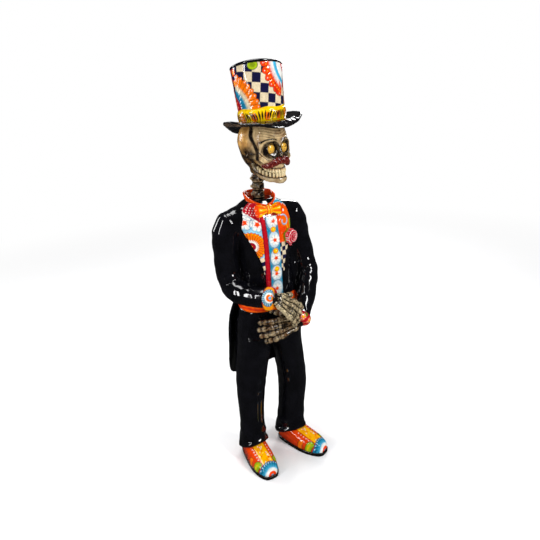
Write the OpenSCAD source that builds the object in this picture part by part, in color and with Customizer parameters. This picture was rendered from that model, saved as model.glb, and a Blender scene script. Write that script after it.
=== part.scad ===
// Skeleton gentleman in a tailcoat and top hat: hollow glazed pottery, with a head that turns and lifts out.
// Millimetres. +Z is up, the figure faces -Y, its left side is +X, and its soles stand on z = 0.

/* [Figure] */
// Thickness of the hollow clay walls
wall = 5; // [4:0.5:6]
// Shift of the whole figure to the back, which centres its outline on the origin
centre_y = 15.2; // [0:0.1:30]
// Shift of the whole figure to its left, which centres its outline on the origin
centre_x = -6.7; // [-15:0.1:15]

/* [Hat] */
// Height of the brim above the floor
brim_z = 797; // [794:1:802]
// Radius of the crown where it meets the brim
crown_r = 45; // [43:0.5:46]
// Radius of the crown at its top
crown_top_r = 50; // [48:0.5:52]
// Height of the crown above the brim
crown_h = 104; // [98:1:108]
// Half width of the brim from side to side
brim_rx = 80; // [77:1:84]
// Half length of the brim from front to back
brim_ry = 78; // [74:1:82]
// How far the sides of the brim curl up
brim_curl = 9; // [4:1:12]
// How far the front and the back of the brim droop
brim_droop = 22; // [0:1:24]
// Lean of the hat to the figure's right, in degrees
hat_lean = 2; // [0:0.5:3]
// Backward lean of the hat, in degrees
hat_back = 4.5; // [2:0.5:6]

/* [Head and neck] */
// Turn of the face to the figure's left at rest, in degrees
head_turn = 12; // [0:1:40]
// Radius of the steel rod in the neck
rod_r = 4; // [3:0.5:4.5]
// Radial gap between the rod and the pieces it turns or slides in
rod_gap = 0.1; // [0.05:0.01:0.1]
// Depth of the rod below the top of its socket
rod_depth = 70; // [50:5:90]
// Distance of the middle of the skull ahead of the rod
skull_ahead = 27; // [24:1:28]

/* [Shoes] */
// Length of a shoe sole
shoe_l = 139; // [136:1:146]
// Half width of a shoe at the ball of the foot
shoe_hw = 30.5; // [27:0.5:31]
// Thickness of the sole
sole_t = 9; // [7:0.5:11]
// Turn of the left foot outwards, in degrees
left_foot_turn = 25; // [15:1:28]
// Radius of the vent under each foot, which lets air out of the hollow figure in the kiln
vent_r = 4; // [3:0.5:5]

/* [Hidden] */
seam = 0.3;          // overlap that presses a luted piece onto the one below it
around = 32;         // points round the torso
limb_around = 20;    // points round a limb
torso_square = 2.4;  // exponent of the torso's rounded section

seat_low = 330;
sash_low = 398;
jacket_low = 424;
jacket_top = 638;
neck_r = 27;         // radius of the neckline of the jacket
// Torso outline: height, half width, half depth, y of the middle
TORSO = [
    [sash_low, 66, 48, 4], [jacket_low, 64, 46, 5], [460, 60, 46, 6], [500, 60, 48, 9],
    [540, 61, 49, 12], [575, 62, 47, 15], [600, 62, 42, 17], [616, 57, 37, 18], [629, 44, 31, 18],
    [jacket_top, neck_r, neck_r, 18]
];
// Seat of the trousers, by the same measures
SEAT = [[seat_low, 77, 51, 5], [350, 76, 52, 5], [375, 72, 51, 4], [sash_low, 66, 48, 4]];
// Trouser leg: height, x and y of the middle, half width, half depth, slope of the hem
RIGHT_LEG = [
    [38, -63, -4, 35, 42, -0.4], [62, -61, 0, 32, 36, -0.2], [105, -59, 5, 29, 31, 0],
    [180, -56.5, 6, 32, 34, 0], [250, -50, 5, 35, 39, 0], [300, -42, 5, 38, 46, 0],
    [seat_low, -39.3, 5, 39, 49, 0]
];
LEFT_LEG = [
    [38, 44, -2, 35, 42, -0.4], [62, 47, 1, 32, 36, -0.2], [105, 52, 5, 30, 31, 0],
    [180, 57, 6, 34, 34, 0], [250, 50, 5, 36, 39, 0], [300, 42, 5, 38, 46, 0], [seat_low, 39.3, 5, 39, 49, 0]
];
// Sleeve from shoulder to wrist: x, y, z, radius
RIGHT_ARM = [
    [-48, 17, 600, 20], [-62, 17, 600, 24], [-76, 17, 594, 26.5], [-86, 17, 575, 27], [-88, 17, 545, 26],
    [-87.5, 16, 512, 26], [-87, 12, 480, 26], [-86, 0, 458, 24], [-79, -20, 449, 24], [-66, -42, 447, 23],
    [-52, -60, 446, 22], [-41, -72, 446, 21]
];
LEFT_ARM = [
    [48, 17, 600, 20], [62, 17, 600, 24], [76, 17, 594, 26.5], [86, 17, 574, 27], [90, 16, 543, 27],
    [95, 13, 512, 27], [100, 7, 482, 27], [102, -4, 459, 25], [93, -19, 440, 24], [77, -38, 417, 23],
    [59, -54, 396, 22], [47, -64, 383, 21]
];
cuff_l = 20;
hand_scale = 1.25;
RIGHT_HAND_DIR = [0.76, -0.10, -0.64];
LEFT_HAND_DIR = [-0.97, -0.12, 0.02];
RIGHT_HAND_BACK = [0.25, -0.9, 0.35];
LEFT_HAND_BACK = [0.1, -0.95, 0.3];
// Share of the half width of a shoe, from the heel at 0 to the toe at 1
SHOE_WIDTH = [[0, 0.86], [0.3, 0.86], [0.65, 1], [1, 0.97]];
// Upper of a shoe: height, share of the way from the outline of the sole to the ankle
SHOE_UPPER = [
    [sole_t, 0], [17, -0.01], [24, 0.04], [30, 0.16], [35, 0.36], [40, 0.56], [45, 0.78], [52, 0.95], [57, 1]
];
ankle_rx = 25;
ankle_ry = 27;
toe_square = 0.6;    // exponent of the rounded ends of the sole; a smaller one is squarer
heel_back = 0.243;   // share of the shoe that lies behind the ankle
// x, y and outward turn of a foot
RIGHT_FOOT = [-65, 1, 1];
LEFT_FOOT = [44, 0, left_foot_turn];

placket_right = 10.5;  // reach of the button placket to the figure's right of the middle
placket_left = 16;     // reach of the placket and the shirt to the figure's left
shirt_right = 21;      // reach of the shirt to the figure's right
lapel_gap = 0.4;       // clearance between a lapel and the edge beside it
button_x = 3;

neck_y = 18;
neck_low = jacket_top + 0.4;
neck_top = 688;
BEAD_R = [14, 13.4, 13.6];  // radius of each vertebra, from the collar up
vertebrae = len(BEAD_R);
// Skull: height, half width, half length, distance of the middle behind the axis of the skull
SKULL = [
    [neck_top, 15, 17, 21], [694, 25, 37, 8], [702, 31, 46, 2], [716, 38, 50, 1], [732, 44, 52, 3],
    [750, 46, 54, 4], [768, 47, 54, 4], [784, 45, 52, 4], [797, 40, 48, 4]
];
jaw_low = 679;
jaw_rx = 26;
jaw_ry = 45;
jaw_y = -9;
eye_z = 744;
eye_x = 16.5;
eye_r = 13.5;

function unit(v) = v / norm(v);
function lerp(a, b, t) = a + (b - a) * t;
function rise(t) = t * t * (3 - 2 * t);
function clamp(t) = max(0, min(1, t));
function place(p) = [p[0], p[1], p[2]];
function last(p) = p[len(p) - 1];

// Column c of a table at position z, on a smooth curve through the rows, which start with the position
function row_of(t, z, i = 0) = i >= len(t) - 2 || z <= t[i + 1][0] ? i : row_of(t, z, i + 1);
function slope(t, i, c) =
    let (lo = max(i - 1, 0), hi = min(i + 1, len(t) - 1)) (t[hi][c] - t[lo][c]) / (t[hi][0] - t[lo][0]);
function at(t, z, c) =
    let (i = row_of(t, z), h = t[i + 1][0] - t[i][0], u = (z - t[i][0]) / h)
    t[i][c] * (2 * u * u * u - 3 * u * u + 1) + t[i + 1][c] * (3 * u * u - 2 * u * u * u)
    + h * (slope(t, i, c) * (u * u * u - 2 * u * u + u) + slope(t, i + 1, c) * (u * u * u - u * u));

// Smooth path of count + 1 rows through the rows of p
function row(p, k) = p[max(0, min(len(p) - 1, k))];
function path_at(p, s) =
    let (k = min(floor(s), len(p) - 2), u = s - k,
         a = row(p, k - 1), b = row(p, k), c = row(p, k + 1), d = row(p, k + 2))
    0.5 * (2 * b + (c - a) * u + (2 * a - 5 * b + 4 * c - d) * u * u + (3 * b - a - 3 * c + d) * u * u * u);
function path(p, count) = [for (i = [0:count]) path_at(p, (len(p) - 1) * i / count)];

function power(v, e) = sign(v) * pow(abs(v), e);
// Level ring of a rounded section; tilt raises it with y
function ring(cx, cy, z, a, b, e = 2, n = around, tilt = 0) =
    [for (k = [0:n - 1]) let (t = 360 * k / n, y = b * power(sin(t), 2 / e))
        [cx + a * power(cos(t), 2 / e), cy + y, z + tilt * y]];
// Ring square to a direction
function cross_ring(p, dir, r, side, n = limb_around) =
    let (u = unit(cross(side, dir)), v = cross(dir, u))
    [for (k = [0:n - 1]) let (t = 360 * k / n) place(p) + r * (cos(t) * u + sin(t) * v)];
// Ring square to X, with half sizes a along Y and b along Z
function ellipse_x(x, a, b, n = 16) = [for (k = [0:n - 1]) let (t = 360 * k / n) [x, a * cos(t), b * sin(t)]];
function path_rings(p, side, grow = 0, n = limb_around) =
    [for (i = [0:len(p) - 1])
        let (dir = unit(place(row(p, i + 1)) - place(row(p, i - 1))))
        cross_ring(p[i], dir, p[i][3] + grow, side, n)];

// Two triangles for each cell of a grid with m rows of n points; closed joins the last column to the first
function grid_faces(m, n, base, flip, closed = true) =
    [for (i = [0:m - 2], j = [0:(closed ? n - 1 : n - 2)])
        let (a = base + i * n + j, b = base + i * n + (j + 1) % n, c = a + n, d = b + n)
        each (flip ? [[a, d, c], [a, b, d]] : [[a, c, d], [a, d, b]])];
// Triangles between two rows of points with the same count
function strip_faces(low, high) =
    [for (j = [0:len(low) - 2]) each [[low[j], low[j + 1], high[j + 1]], [low[j], high[j + 1], high[j]]]];
function count_from(a, n, step = 1) = [for (k = [0:n - 1]) a + k * step];

// Closed solid through level or square rings, which run to the left of the way they are stacked
module skin(rings) {
    n = len(rings[0]);
    m = len(rings);
    polyhedron(
        points = [for (r = rings) each r],
        faces = concat([count_from(0, n)], [count_from(m * n - 1, n, -1)], grid_faces(m, n, 0, false))
    );
}

// Hollow tube, open at both ends, between outer and inner rings
module tube(outer, inner) {
    n = len(outer[0]);
    m = len(outer);
    base = m * n;
    top = (m - 1) * n;
    function loop(first) = concat(count_from(first, n), [first]);
    polyhedron(
        points = concat([for (r = outer) each r], [for (r = inner) each r]),
        faces = concat(
            grid_faces(m, n, 0, false),
            grid_faces(m, n, base, true),
            strip_faces(loop(0), loop(base)),
            strip_faces(loop(base + top), loop(top))
        )
    );
}

// Closed slab between a front grid and a back grid; rows run up and columns to the right, seen from the front
module slab(front, back) {
    m = len(front);
    n = len(front[0]);
    base = m * n;
    polyhedron(
        points = concat([for (r = front) each r], [for (r = back) each r]),
        faces = concat(
            grid_faces(m, n, 0, false, false),
            grid_faces(m, n, base, true, false),
            strip_faces(count_from(0, n), count_from(base, n)),
            strip_faces(count_from(base + (m - 1) * n, n), count_from((m - 1) * n, n)),
            strip_faces(count_from(base, m, n), count_from(0, m, n)),
            strip_faces(count_from(n - 1, m, n), count_from(base + n - 1, m, n))
        )
    );
}

// Puts a piece drawn at the origin at p, with its X along x_dir and its Z as near z_dir as that allows
module stand(p, x_dir, z_dir) {
    x = unit(x_dir);
    y = unit(cross(z_dir, x));
    z = cross(x, y);
    multmatrix([[x[0], y[0], z[0], p[0]], [x[1], y[1], z[1], p[1]], [x[2], y[2], z[2], p[2]], [0, 0, 0, 1]])
        children();
}

// ---- torso ----
function torso_point(z, angle, off = 0) =
    [(at(TORSO, z, 1) + off) * power(cos(angle), 2 / torso_square),
     at(TORSO, z, 3) + (at(TORSO, z, 2) + off) * power(sin(angle), 2 / torso_square), z];
function torso_ring(z, off) = [for (k = [0:around - 1]) torso_point(z, 360 * k / around, off)];
// Angle on the front of the torso whose surface lies at a given x
function front_angle(z, x, off = 0) =
    -acos(power(max(-1, min(1, x / (at(TORSO, z, 1) + off))), torso_square / 2));
// Strip on the front of the torso between x0 and x1, given at each height from low to high
module front_strip(low, high, x0, x1, under, over, cols) {
    rows = len(x0) - 1;
    function grid(off) = [for (i = [0:rows]) let (z = lerp(low, high, i / rows))
        [for (j = [0:cols]) torso_point(z, front_angle(z, lerp(x0[i], x1[i], j / cols), off), off)]];
    slab(grid(over), grid(under));
}

module jacket_body() {
    rows = 13;
    heights = [for (i = [0:rows]) lerp(jacket_low, jacket_top, i / rows)];
    color([0.03, 0.03, 0.035])
        tube([for (z = heights) torso_ring(z, 0)], [for (z = heights) torso_ring(z, -wall)]);
}

module trouser_seat() {
    rows = 5;
    heights = [for (i = [0:rows]) lerp(seat_low, sash_low, i / rows)];
    function seat_ring(z, off) =
        ring(0, at(SEAT, z, 3), z, at(SEAT, z, 1) + off, at(SEAT, z, 2) + off, torso_square);
    color([0.02, 0.02, 0.03])
        tube([for (z = heights) seat_ring(z, 0)], [for (z = heights) seat_ring(z, -wall)]);
}

module trouser_leg(t) {
    rows = 12;
    heights = [for (i = [0:rows]) lerp(t[0][0], seat_low, i / rows)];
    function leg_ring(z, off) =
        ring(at(t, z, 1), at(t, z, 2), z, at(t, z, 3) + off, at(t, z, 4) + off, 2.2, limb_around + 2,
             at(t, z, 5));
    color([0.02, 0.02, 0.03])
        tube([for (z = heights) leg_ring(z, 0)], [for (z = heights) leg_ring(z, -wall)]);
}

module sash() {
    // height and distance that the band stands proud of the torso
    band = [[sash_low, 0], [404, 3.5], [412, 4.6], [419, 4.2], [jacket_low, 1]];
    color([0.75, 0.16, 0.02])
        tube([for (r = band) torso_ring(r[0], r[1])], [for (r = band) torso_ring(r[0], -wall)]);
}

// One tail of the coat: it starts on the back of the jacket and hangs behind the leg; side is -1 or 1
module coat_tail(side) {
    rows = 12;
    cols = 8;
    high = 444;
    thick = 5;
    function low_end(f) = 204 - 4 * f + 38 * pow(f, 4);
    // distance from the torso: clear of the sash, then a flare that is strongest at the side
    function stand_off(z, f) =
        5.2 * rise(clamp((high - z) / 20)) + 12 * f * rise(clamp((jacket_low - z) / 60))
        + 12 * rise(clamp((jacket_low - z) / 200));
    function tail_point(i, f, off) =
        let (z = lerp(low_end(f), high, i / rows),
             p = torso_point(max(z, sash_low), lerp(88, 20, f), stand_off(z, f) + off))
        [side * p[0], p[1], z];
    // seen from behind, the columns run to the right
    function grid(off) = [for (i = [0:rows])
        [for (j = [0:cols]) tail_point(i, (side < 0 ? j : cols - j) / cols, off)]];
    color([0.03, 0.03, 0.035])
        slab(grid(thick), grid(0));
}

// ---- sleeves, cuffs and hands ----
module sleeve(arm, side) {
    p = path(arm, 16);
    color([0.03, 0.03, 0.035])
        tube(path_rings(p, [side, 0.6, 0]), path_rings(p, [side, 0.6, 0], -wall));
}

function wrist_dir(arm) = unit(place(last(arm)) - place(arm[len(arm) - 2]));
function wrist(arm) = place(last(arm)) + wrist_dir(arm) * cuff_l;
module cuff(arm) {
    color([0.05, 0.45, 0.6])
        stand(place(last(arm)), cross(wrist_dir(arm), [0, 0, 1]), wrist_dir(arm))
            rotate_extrude($fn = 64) polygon([[0, cuff_l - 5], [15, cuff_l - 5], [15, 0], [21, 0], [23, 1.5],
                [25.5, 6], [25.5, 13], [23, 18], [20, cuff_l], [0, cuff_l]]);
}

// Finger or thumb: it starts at base, spreads in the palm's plane and curls away from the back of the hand
module finger(base, spread, len, r) {
    curl = [0, 12, 34, 52];
    bone = [0, 0.45, 0.3, 0.25];
    function reach(k) = k == 0 ? 0 : reach(k - 1) + len * bone[k] * cos(curl[k]);
    function drop(k) = k == 0 ? 0 : drop(k - 1) + len * bone[k] * sin(curl[k]);
    knots = [for (k = [0:3])
        [base[0] + reach(k) * cos(spread), base[1] + reach(k) * sin(spread), base[2] - drop(k),
         r * (1 - 0.12 * k)]];
    mid_thin = [0, 0, 0, 0.2 * r];
    p = concat([for (k = [0:2]) each [knots[k], lerp(knots[k], knots[k + 1], 0.5) - mid_thin]], [knots[3]],
        [lerp(knots[2], knots[3], 1.25) - [0, 0, 0, 0.55 * r]]);
    skin(path_rings(p, [0, 1, 0], 0, 8));
}

// Hand with the wrist at w; its fingers follow dir and its back faces back; thumb is the side of the thumb
module hand(w, dir, back, thumb) {
    // reach, half width and half thickness of the palm
    palm = [[-1, 11, 8], [6, 12, 8], [18, 16, 9], [30, 19, 8.5], [39, 19.5, 7], [43, 17, 5]];
    lengths = [35, 40, 38, 31];
    color([0.35, 0.26, 0.16])
        stand(w, dir, back) scale(hand_scale) {
            skin([for (r = palm) ellipse_x(r[0], r[1], r[2])]);
            for (k = [0:3])
                finger([38, thumb * (14 - 9.3 * k), 0], thumb * (4 - 4 * k), lengths[k], 5.2);
            finger([10, thumb * 12, -2], thumb * 38, 40, 6);
        }
}

module right_hand() {
    hand(wrist(RIGHT_ARM), RIGHT_HAND_DIR, RIGHT_HAND_BACK, 1);
}
module left_hand() {
    hand(wrist(LEFT_ARM), LEFT_HAND_DIR, LEFT_HAND_BACK, -1);
}

// ---- lapels, shirt and bow tie ----
module lapel(side) {
    low = 484;
    high = 634;
    rows = 12;
    // the inner edge lies beside the placket on the left and beside the shirt on the right
    inner = [for (i = [0:rows]) lapel_gap + (side > 0 ? placket_left : shirt_right)];
    outer = [for (i = [0:rows]) let (f = i / rows)
        min(24 + 37 * rise(clamp(1.2 * f)), 0.93 * at(TORSO, lerp(low, high, f), 1))];
    x0 = side > 0 ? inner : -outer;
    x1 = side > 0 ? outer : -inner;
    color([0.9, 0.4, 0.05])
        front_strip(low, high, x0, x1, -seam, 3.2, 8);
}

module shirt_front() {
    rows = 10;
    x0 = [for (i = [0:rows]) -shirt_right];
    x1 = [for (i = [0:rows]) placket_left];
    color([0.75, 0.02, 0.05])
        front_strip(jacket_low + 2, 620, x0, x1, -seam, 2, 8);
}

module button_placket() {
    rows = 10;
    x0 = [for (i = [0:rows]) -placket_right];
    x1 = [for (i = [0:rows]) placket_left];
    color([0.45, 0.75, 0.8])
        front_strip(jacket_low + 8, 606, x0, x1, 2 - seam, 5.5, 6);
}

module shirt_buttons() {
    color([0.95, 0.5, 0.05])
        for (z = [493, 533, 579])
            translate(torso_point(z, front_angle(z, button_x, 5), 5)) rotate([90, 0, 0]) intersection() {
                translate([0, 0, -2.5]) sphere(r = 7, $fn = 32);
                translate([-10, -10, 0]) cube(20);
            }
}

module shirt_collar() {
    gap = 40;
    cloth = 3.5;
    n = 26;
    // height above the neckline and radius
    profile = [[0, neck_r], [6, neck_r + 1.5], [12, neck_r + 4.5], [17, neck_r + 7.5]];
    function edge(r, t, in) =
        let (dip = 0.5 * r[0] * pow(max(0, -sin(t)), 3))
        [(r[1] - in) * cos(t), neck_y + (r[1] - in) * sin(t), jacket_top + r[0] - dip];
    function turned(k) = -90 + gap / 2 + (360 - gap) * k / n;
    function grid(in) = [for (r = profile) [for (k = [0:n]) edge(r, turned(k), in)]];
    color([0.9, 0.18, 0.02])
        slab(grid(0), grid(cloth));
}

module at_bow() {
    translate(torso_point(620, -90, 8)) rotate([-20, 0, 0]) children();
}
module bow_tie_wings() {
    // reach, half height and half depth of a wing
    wing = [[0, 6, 5], [7, 9, 6.5], [14, 12.5, 8], [20, 13.5, 8], [25, 12.5, 6.5], [27, 10, 4]];
    color([0.95, 0.5, 0.03])
        at_bow() for (s = [0, 180])
            rotate([0, s, 0]) translate([4, 0, 0])
                skin([for (r = wing) ellipse_x(r[0], r[2], r[1])]);
}

module bow_tie_knot() {
    color([0.9, 0.4, 0.03])
        at_bow() translate([0, -2, 0]) rotate_extrude($fn = 48)
            polygon([[0, -9.5], [4.5, -9.5], [7, -7], [8, -3], [8, 3], [7, 7], [4.5, 9.5], [0, 9.5]]);
}

module lapel_rose() {
    x = 39;
    z = 558;
    color([0.85, 0.05, 0.12])
        translate(torso_point(z, front_angle(z, x), 3)) rotate([94, 0, 24]) {
            rotate_extrude($fn = 48)
                polygon([[0, -1], [13, -1], [16, 3], [16.5, 8], [14, 12], [8, 14.5], [0, 15]]);
            translate([0, -14, 0]) cylinder(r = 8, h = 6, $fn = 32);
        }
}

// ---- neck ----
module neck_socket() {
    floor_t = 6;
    plug_h = 10;
    low = jacket_top - rod_depth - floor_t;
    color([0.45, 0.3, 0.18]) translate([0, neck_y, 0]) difference() {
        union() {
            translate([0, 0, low]) cylinder(r = rod_r + 7, h = jacket_top - low, $fn = 48);
            translate([0, 0, jacket_top - plug_h]) cylinder(r = neck_r - wall + seam, h = plug_h, $fn = 96);
        }
        translate([0, 0, jacket_top - rod_depth]) cylinder(r = rod_r + rod_gap, h = rod_depth + 1, $fn = 48);
    }
}

rod_top = neck_top + 16;
module neck_rod() {
    color([0.6, 0.6, 0.62])
        translate([0, neck_y, jacket_top - rod_depth])
            cylinder(r = rod_r, h = rod_top - jacket_top + rod_depth, $fn = 48);
}

// Bead of bone with a spine at the back and a stub at each side; k counts from the collar
module vertebra(k) {
    h = (neck_top - neck_low) / vertebrae;
    r = BEAD_R[k];
    color([0.3, 0.22, 0.14])
        translate([0, neck_y, neck_low + k * h]) rotate([0, 0, head_turn]) difference() {
            union() {
                rotate_extrude($fn = 48) polygon([[0, 0], [r - 1.5, 0], [r, 1.8], [r - 0.6, h * 0.3],
                    [r - 3, h * 0.5], [r - 0.6, h * 0.7], [r, h - 1.8], [r - 1.5, h], [0, h]]);
                translate([-1.8, 6, h * 0.3]) cube([3.6, r - 2, h * 0.4]);
                translate([0, 0, h / 2]) rotate([0, 90, 0])
                    cylinder(r = 2.4, h = 2 * r + 1, center = true, $fn = 24);
            }
            translate([0, 0, -1]) cylinder(r = rod_r + rod_gap, h = h + 2, $fn = 48);
        }
}

// ---- head ----
// Places a piece that is drawn with the face to -Y and the middle of the skull on the Z axis
module on_head() {
    translate([0, neck_y, 0]) rotate([0, 0, head_turn]) translate([0, -skull_ahead, 0]) children();
}

// Boss in the base of the skull that turns on the end of the rod
module head_socket() {
    bore_h = rod_top - neck_top + 0.5;
    color([0.45, 0.3, 0.18])
        translate([0, neck_y, neck_top]) difference() {
            cylinder(r = 9, h = bore_h + 5, $fn = 48);
            translate([0, 0, -1]) cylinder(r = rod_r + rod_gap, h = bore_h + 1, $fn = 48);
        }
}

module skull() {
    rows = 14;
    heights = [for (i = [0:rows]) lerp(neck_top, last(SKULL)[0], i / rows)];
    function skull_ring(z, off) =
        ring(0, at(SKULL, z, 3), z, at(SKULL, z, 1) + off, at(SKULL, z, 2) + off, 2.15, 28);
    color([0.6, 0.45, 0.28]) on_head() difference() {
        tube([for (z = heights) skull_ring(z, 0)], [for (z = heights) skull_ring(z, -wall)]);
        for (s = [-1, 1])
            translate([s * eye_x, -30, eye_z]) rotate([90, 0, s * 12]) cylinder(r = eye_r, h = 30, $fn = 40);
        at_hat() translate([-60, -80, -brim_t]) cube([120, 160, 20]);
    }
}

module eye(side) {
    color([0.8, 0.6, 0.2]) on_head()
        translate([side * eye_x, -34, eye_z]) rotate([90, 0, side * 12])
            cylinder(r = eye_r + 2.5, h = 3, $fn = 40);
}

// Curve of the jaw, with the chin at -90 degrees
function jaw_point(t, grow) =
    [(jaw_rx + grow) * cos(t), jaw_y + (jaw_ry + grow) * min(0, sin(t)) + 14 * max(0, sin(t))];
module lower_jaw() {
    n = 18;
    rim = 690;
    reach = 225;
    // height, inner and outer distance from the curve
    profile = [[jaw_low, -10, -4], [682, -9, -1], [687, -9, 0], [rim, -8, -1]];
    function edge(r, t, in) =
        let (p = jaw_point(t, in ? r[1] : r[2]))
        [p[0], p[1], r[0] + 15 * pow((1 + sin(t)) / 1.3, 2)];
    function grid(in) = [for (r = profile) [for (k = [0:n]) edge(r, -90 - reach / 2 + reach * k / n, in)]];
    color([0.5, 0.36, 0.22]) on_head() slab(grid(false), grid(true));
}

// Row of teeth that touch one another round the front of the jaw
module tooth_row(z, h, r, grow) {
    count = 11;
    for (k = [0:count - 1]) {
        i = k - (count - 1) / 2;
        t = -90 + 17 * i * (1 - 0.07 * abs(i));
        p = jaw_point(t, grow);
        translate([p[0], p[1], z + 4 * pow(i / 5, 2)]) cylinder(r = r, h = h, $fn = 20);
    }
}
module upper_teeth() {
    color([0.9, 0.85, 0.65]) on_head() tooth_row(699, 9, 3.4, -6);
}
module lower_teeth() {
    color([0.9, 0.85, 0.65]) on_head() tooth_row(689.5, 8.5, 3.3, -6);
}

module moustache() {
    steps = 7;
    color([0.25, 0.03, 0.03]) on_head() for (s = [-1, 1])
        skin([for (i = [0:steps]) let (f = (s > 0 ? i : steps - i) / steps, x = s * (0.3 + 27 * f),
            y = -51.5 + 17 * f * f, z = 713 + 6 * sin(200 * f) - 9 * f * f,
            h = 6.2 * sin(28 + 128 * f), d = 4.5 * sin(35 + 115 * f))
            [for (k = [0:11]) let (t = 360 * k / 12) [x, y + d * cos(t), z + h * sin(t)]]]);
}

// ---- hat ----
brim_t = 6;
brim_flat = 0.6;     // share of the brim's reach that stays level, under the crown
module at_hat() {
    translate([0, 0, brim_z]) rotate([-hat_back, -hat_lean, 0]) children();
}
module on_hat() {
    on_head() at_hat() children();
}
module hat_brim() {
    n = 40;
    hole_r = crown_r - 8;
    hole = [hole_r / brim_rx, hole_r / brim_ry];
    // share of the brim's reach and height of its surface, from the underside at the crown out and back
    profile = [[0.72, -brim_t], [0.93, -brim_t], [1, -1], [0.98, 2], [0.8, 1.5], [0.66, 0]];
    function droop(reach) = brim_droop * pow(clamp((reach - brim_flat) / (1 - brim_flat)), 2);
    function point(rx, ry, t, up) =
        [rx * brim_rx * cos(t), ry * brim_ry * sin(t),
         up + brim_curl * pow(rx * abs(cos(t)), 4) - droop(ry * abs(sin(t)))];
    function loop(rx, ry, up) = [for (k = [0:n - 1]) point(rx, ry, 360 * k / n, up)];
    color([0.03, 0.03, 0.035]) on_hat()
        tube([for (r = profile) loop(r[0], r[0], r[1])],
             [for (i = [0:len(profile) - 1])
                 loop(hole[0], hole[1], lerp(-brim_t, 0, i / (len(profile) - 1)))]);
}
band_h = 22;
function crown_r_at(z) = lerp(crown_r, crown_top_r, z / crown_h);
module hat_crown() {
    color([0.1, 0.1, 0.14]) on_hat() rotate_extrude($fn = 96) polygon([
        [crown_r_at(0) - wall, -seam], [crown_r_at(0), -seam], [crown_r_at(crown_h) - 0.3, crown_h - 4],
        [crown_r_at(crown_h) + 0.8, crown_h - 2], [crown_r_at(crown_h) - 1, crown_h], [0, crown_h + 1.5],
        [0, crown_h - wall], [crown_r_at(crown_h) - wall, crown_h - wall]]);
}
module hat_band() {
    color([0.95, 0.65, 0.02]) on_hat() rotate_extrude($fn = 96) polygon([
        [crown_r_at(2) - seam, 2], [crown_r_at(2) + 2, 2.5], [crown_r_at(band_h / 2) + 2.6, band_h / 2],
        [crown_r_at(band_h) + 2, band_h - 1], [crown_r_at(band_h) - seam, band_h]]);
}

// ---- shoes ----
module at_foot(foot) {
    translate([foot[0], foot[1], 0]) rotate([0, 0, foot[2]]) children();
}
// Outline of the sole, from the heel round by the figure's right
function sole_point(t, grow = 0) =
    let (s = (1 - cos(t)) / 2)
    [-(shoe_hw * at(SHOE_WIDTH, s, 1) + grow) * power(sin(t), toe_square),
     shoe_l * (heel_back - s) + grow * cos(t)];
module shoe(foot) {
    n = 26;
    function upper(r, off) = [for (k = [0:n - 1])
        let (t = 360 * k / n, a = sole_point(t, off - 1.5),
             b = [-(ankle_rx + off) * sin(t), 3 + (ankle_ry + off) * cos(t)], p = lerp(a, b, r[1]))
        [p[0], p[1], r[0]]];
    color([0.9, 0.25, 0.03]) at_foot(foot)
        tube([for (r = SHOE_UPPER) upper(r, 0)],
             [for (r = SHOE_UPPER) upper([max(sole_t, r[0] - wall * r[1] * (1 - r[1]) * 2.4), r[1]], -wall)]);
}
module sole(foot) {
    n = 40;
    color([0.03, 0.03, 0.03]) at_foot(foot) difference() {
        linear_extrude(height = sole_t) polygon([for (k = [0:n - 1]) sole_point(360 * k / n)]);
        translate([0, 0, -1]) cylinder(r = vent_r, h = sole_t + 2, $fn = 32);
    }
}

module at_origin() {
    translate([centre_x, centre_y, 0]) children();
}

at_origin() sole(RIGHT_FOOT);  // right_sole
at_origin() sole(LEFT_FOOT);  // left_sole
at_origin() shoe(RIGHT_FOOT);  // right_shoe
at_origin() shoe(LEFT_FOOT);  // left_shoe
at_origin() trouser_leg(RIGHT_LEG);  // right_trouser_leg
at_origin() trouser_leg(LEFT_LEG);  // left_trouser_leg
at_origin() trouser_seat();
at_origin() sash();
at_origin() jacket_body();
at_origin() coat_tail(-1);  // right_coat_tail
at_origin() coat_tail(1);  // left_coat_tail
at_origin() sleeve(RIGHT_ARM, 1);  // right_sleeve
at_origin() sleeve(LEFT_ARM, -1);  // left_sleeve
at_origin() cuff(RIGHT_ARM);  // right_cuff
at_origin() cuff(LEFT_ARM);  // left_cuff
at_origin() right_hand();
at_origin() left_hand();
at_origin() lapel(-1);  // right_lapel
at_origin() lapel(1);  // left_lapel
at_origin() shirt_front();
at_origin() button_placket();
at_origin() shirt_buttons();
at_origin() shirt_collar();
at_origin() bow_tie_wings();
at_origin() bow_tie_knot();
at_origin() lapel_rose();
at_origin() neck_socket();
at_origin() neck_rod();
at_origin() vertebra(0);  // vertebra_1
at_origin() vertebra(1);  // vertebra_2
at_origin() vertebra(2);  // vertebra_3
at_origin() head_socket();
at_origin() skull();
at_origin() lower_jaw();
at_origin() upper_teeth();
at_origin() lower_teeth();
at_origin() moustache();
at_origin() eye(-1);  // right_eye
at_origin() eye(1);  // left_eye
at_origin() hat_brim();
at_origin() hat_crown();
at_origin() hat_band();
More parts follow.
